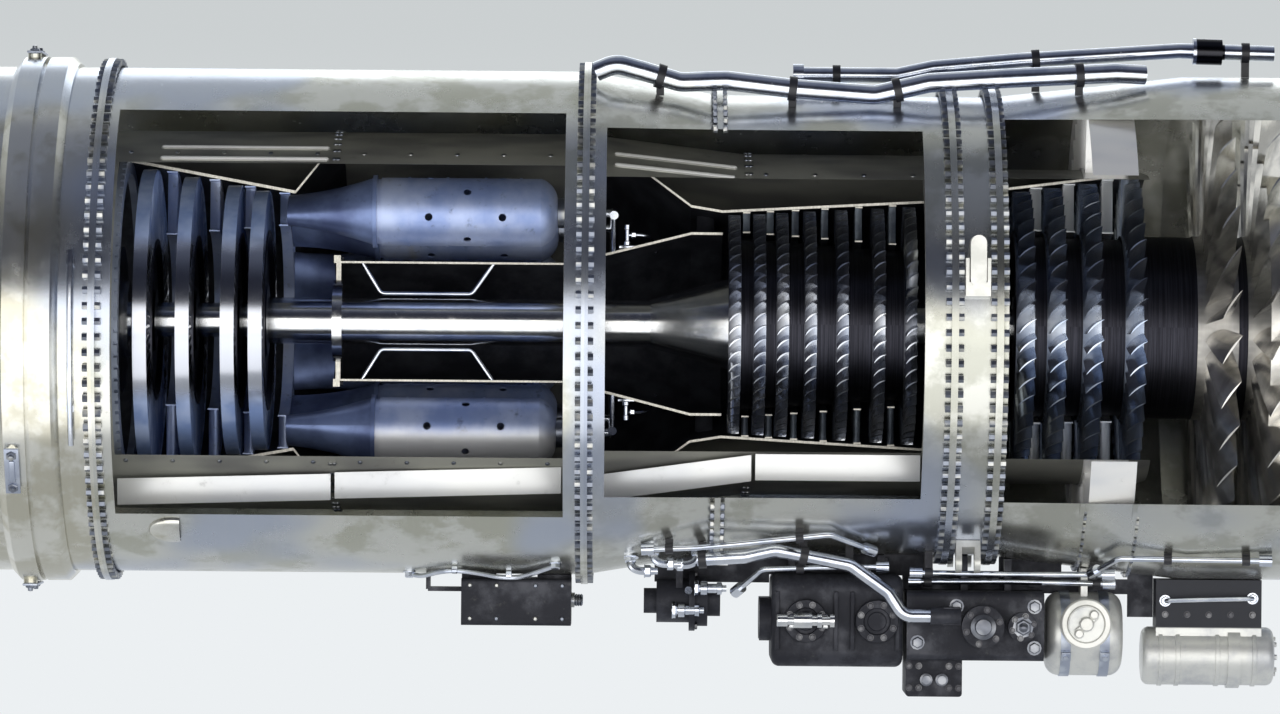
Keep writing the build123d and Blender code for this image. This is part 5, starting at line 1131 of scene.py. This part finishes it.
# Stage, light and camera
def make_floor():
    """A pale floor that keeps the engine's shadow and fades into the background far off."""
    shape = bmesh.new()
    bmesh.ops.create_circle(shape, cap_ends=True, segments=96, radius=FLOOR_RADIUS)
    bmesh.ops.translate(shape, verts=shape.verts, vec=(VIEW_X, 0, FLOOR_Z))
    mesh = bpy.data.meshes.new("floor")
    shape.to_mesh(mesh)
    shape.free()
    floor = bpy.data.objects.new("floor", mesh)
    bpy.context.scene.collection.objects.link(floor)
    made = Finish("floor_paint")
    reach = ((made.x - VIEW_X) * (made.x - VIEW_X) + made.y * made.y).root()
    far = reach.step(FLOOR_NEAR, FLOOR_FAR) * (1 - FLOOR_GLOW) + FLOOR_GLOW
    grain = made.where.noise(3.0, 3.0, 0.5)
    made.set(Base_Color=grain.blend(FLOOR_PALE, FLOOR_SHADE), Roughness=0.8)
    glow = made.where.node("Emission", None, {"Color": colour(PALE_LOW), "Strength": 1.0})
    paint = Signal(made.tree, made.shader.outputs[0])
    both = made.where.node("MixShader", None, {0: far, 1: paint, 2: glow})
    made.tree.links.new(both.socket, made.tree.nodes["Material Output"].inputs["Surface"])
    mesh.materials.append(made.material)


def make_world():
    """A pale studio: bright low in front, dim above the camera, pale behind the engine."""
    world = bpy.data.worlds.new("studio")
    world.use_nodes = True
    bpy.context.scene.world = world
    tree = world.node_tree
    start = Signal(tree)
    x, y, z = start.node("TexCoord", output="Generated").split()
    front = y.step(-0.15, -0.6) * z.step(0.26, 0.06)
    behind = y.step(0.0, 0.55)
    ceiling = z.step(0.55, 1.0)
    level = ceiling.blend(STUDIO_DARK, STUDIO_CEILING)
    level = front.blend(level, STUDIO_FRONT)
    level = behind.blend(level, STUDIO_BEHIND)
    seen = z.step(-0.01, 0.055).blend(PALE_LOW, PALE_TOP)
    direct, glossy, through = [
        start.node("LightPath", output=ray)
        for ray in ("Is Camera Ray", "Is Glossy Ray", "Is Transmission Ray")
    ]
    shown = (direct + glossy * behind + through).blend(level, seen)
    put(tree, tree.nodes["Background"].inputs["Color"], shown)


def area_lamp(name, place, target, size, power, tint):
    """A soft rectangle of light that the camera doesn't see."""
    lamp = bpy.data.lights.new(name, "AREA")
    lamp.shape = "RECTANGLE"
    lamp.size, lamp.size_y = size
    lamp.energy = power
    lamp.color = tint
    holder = bpy.data.objects.new(name, lamp)
    holder.location = place
    holder.visible_camera = False
    holder.rotation_euler = (Vector(target) - Vector(place)).to_track_quat("-Z", "Y").to_euler()
    bpy.context.scene.collection.objects.link(holder)


def make_camera():
    """The photograph's square side view, with the engine's axis tilted as it is there."""
    half_width = PHOTO_WIDTH * METRES_PER_PIXEL / 2
    drop = (AXIS_ROW - PHOTO_HEIGHT / 2) * METRES_PER_PIXEL
    data = bpy.data.cameras.new("camera")
    data.sensor_width = SENSOR
    data.lens = SENSOR * VIEW_DISTANCE / (2 * half_width)
    data.clip_end = FLOOR_RADIUS * 3
    camera = bpy.data.objects.new("camera", data)
    camera.location = (VIEW_X, -VIEW_DISTANCE, drop)
    camera.rotation_euler = (math.radians(90), -AXIS_TILT, 0)
    bpy.context.scene.collection.objects.link(camera)
    bpy.context.scene.camera = camera


make_floor()
make_world()
make_camera()
for lamp in LAMPS:
    area_lamp(*lamp)
bpy.context.scene.view_settings.view_transform = "Standard"
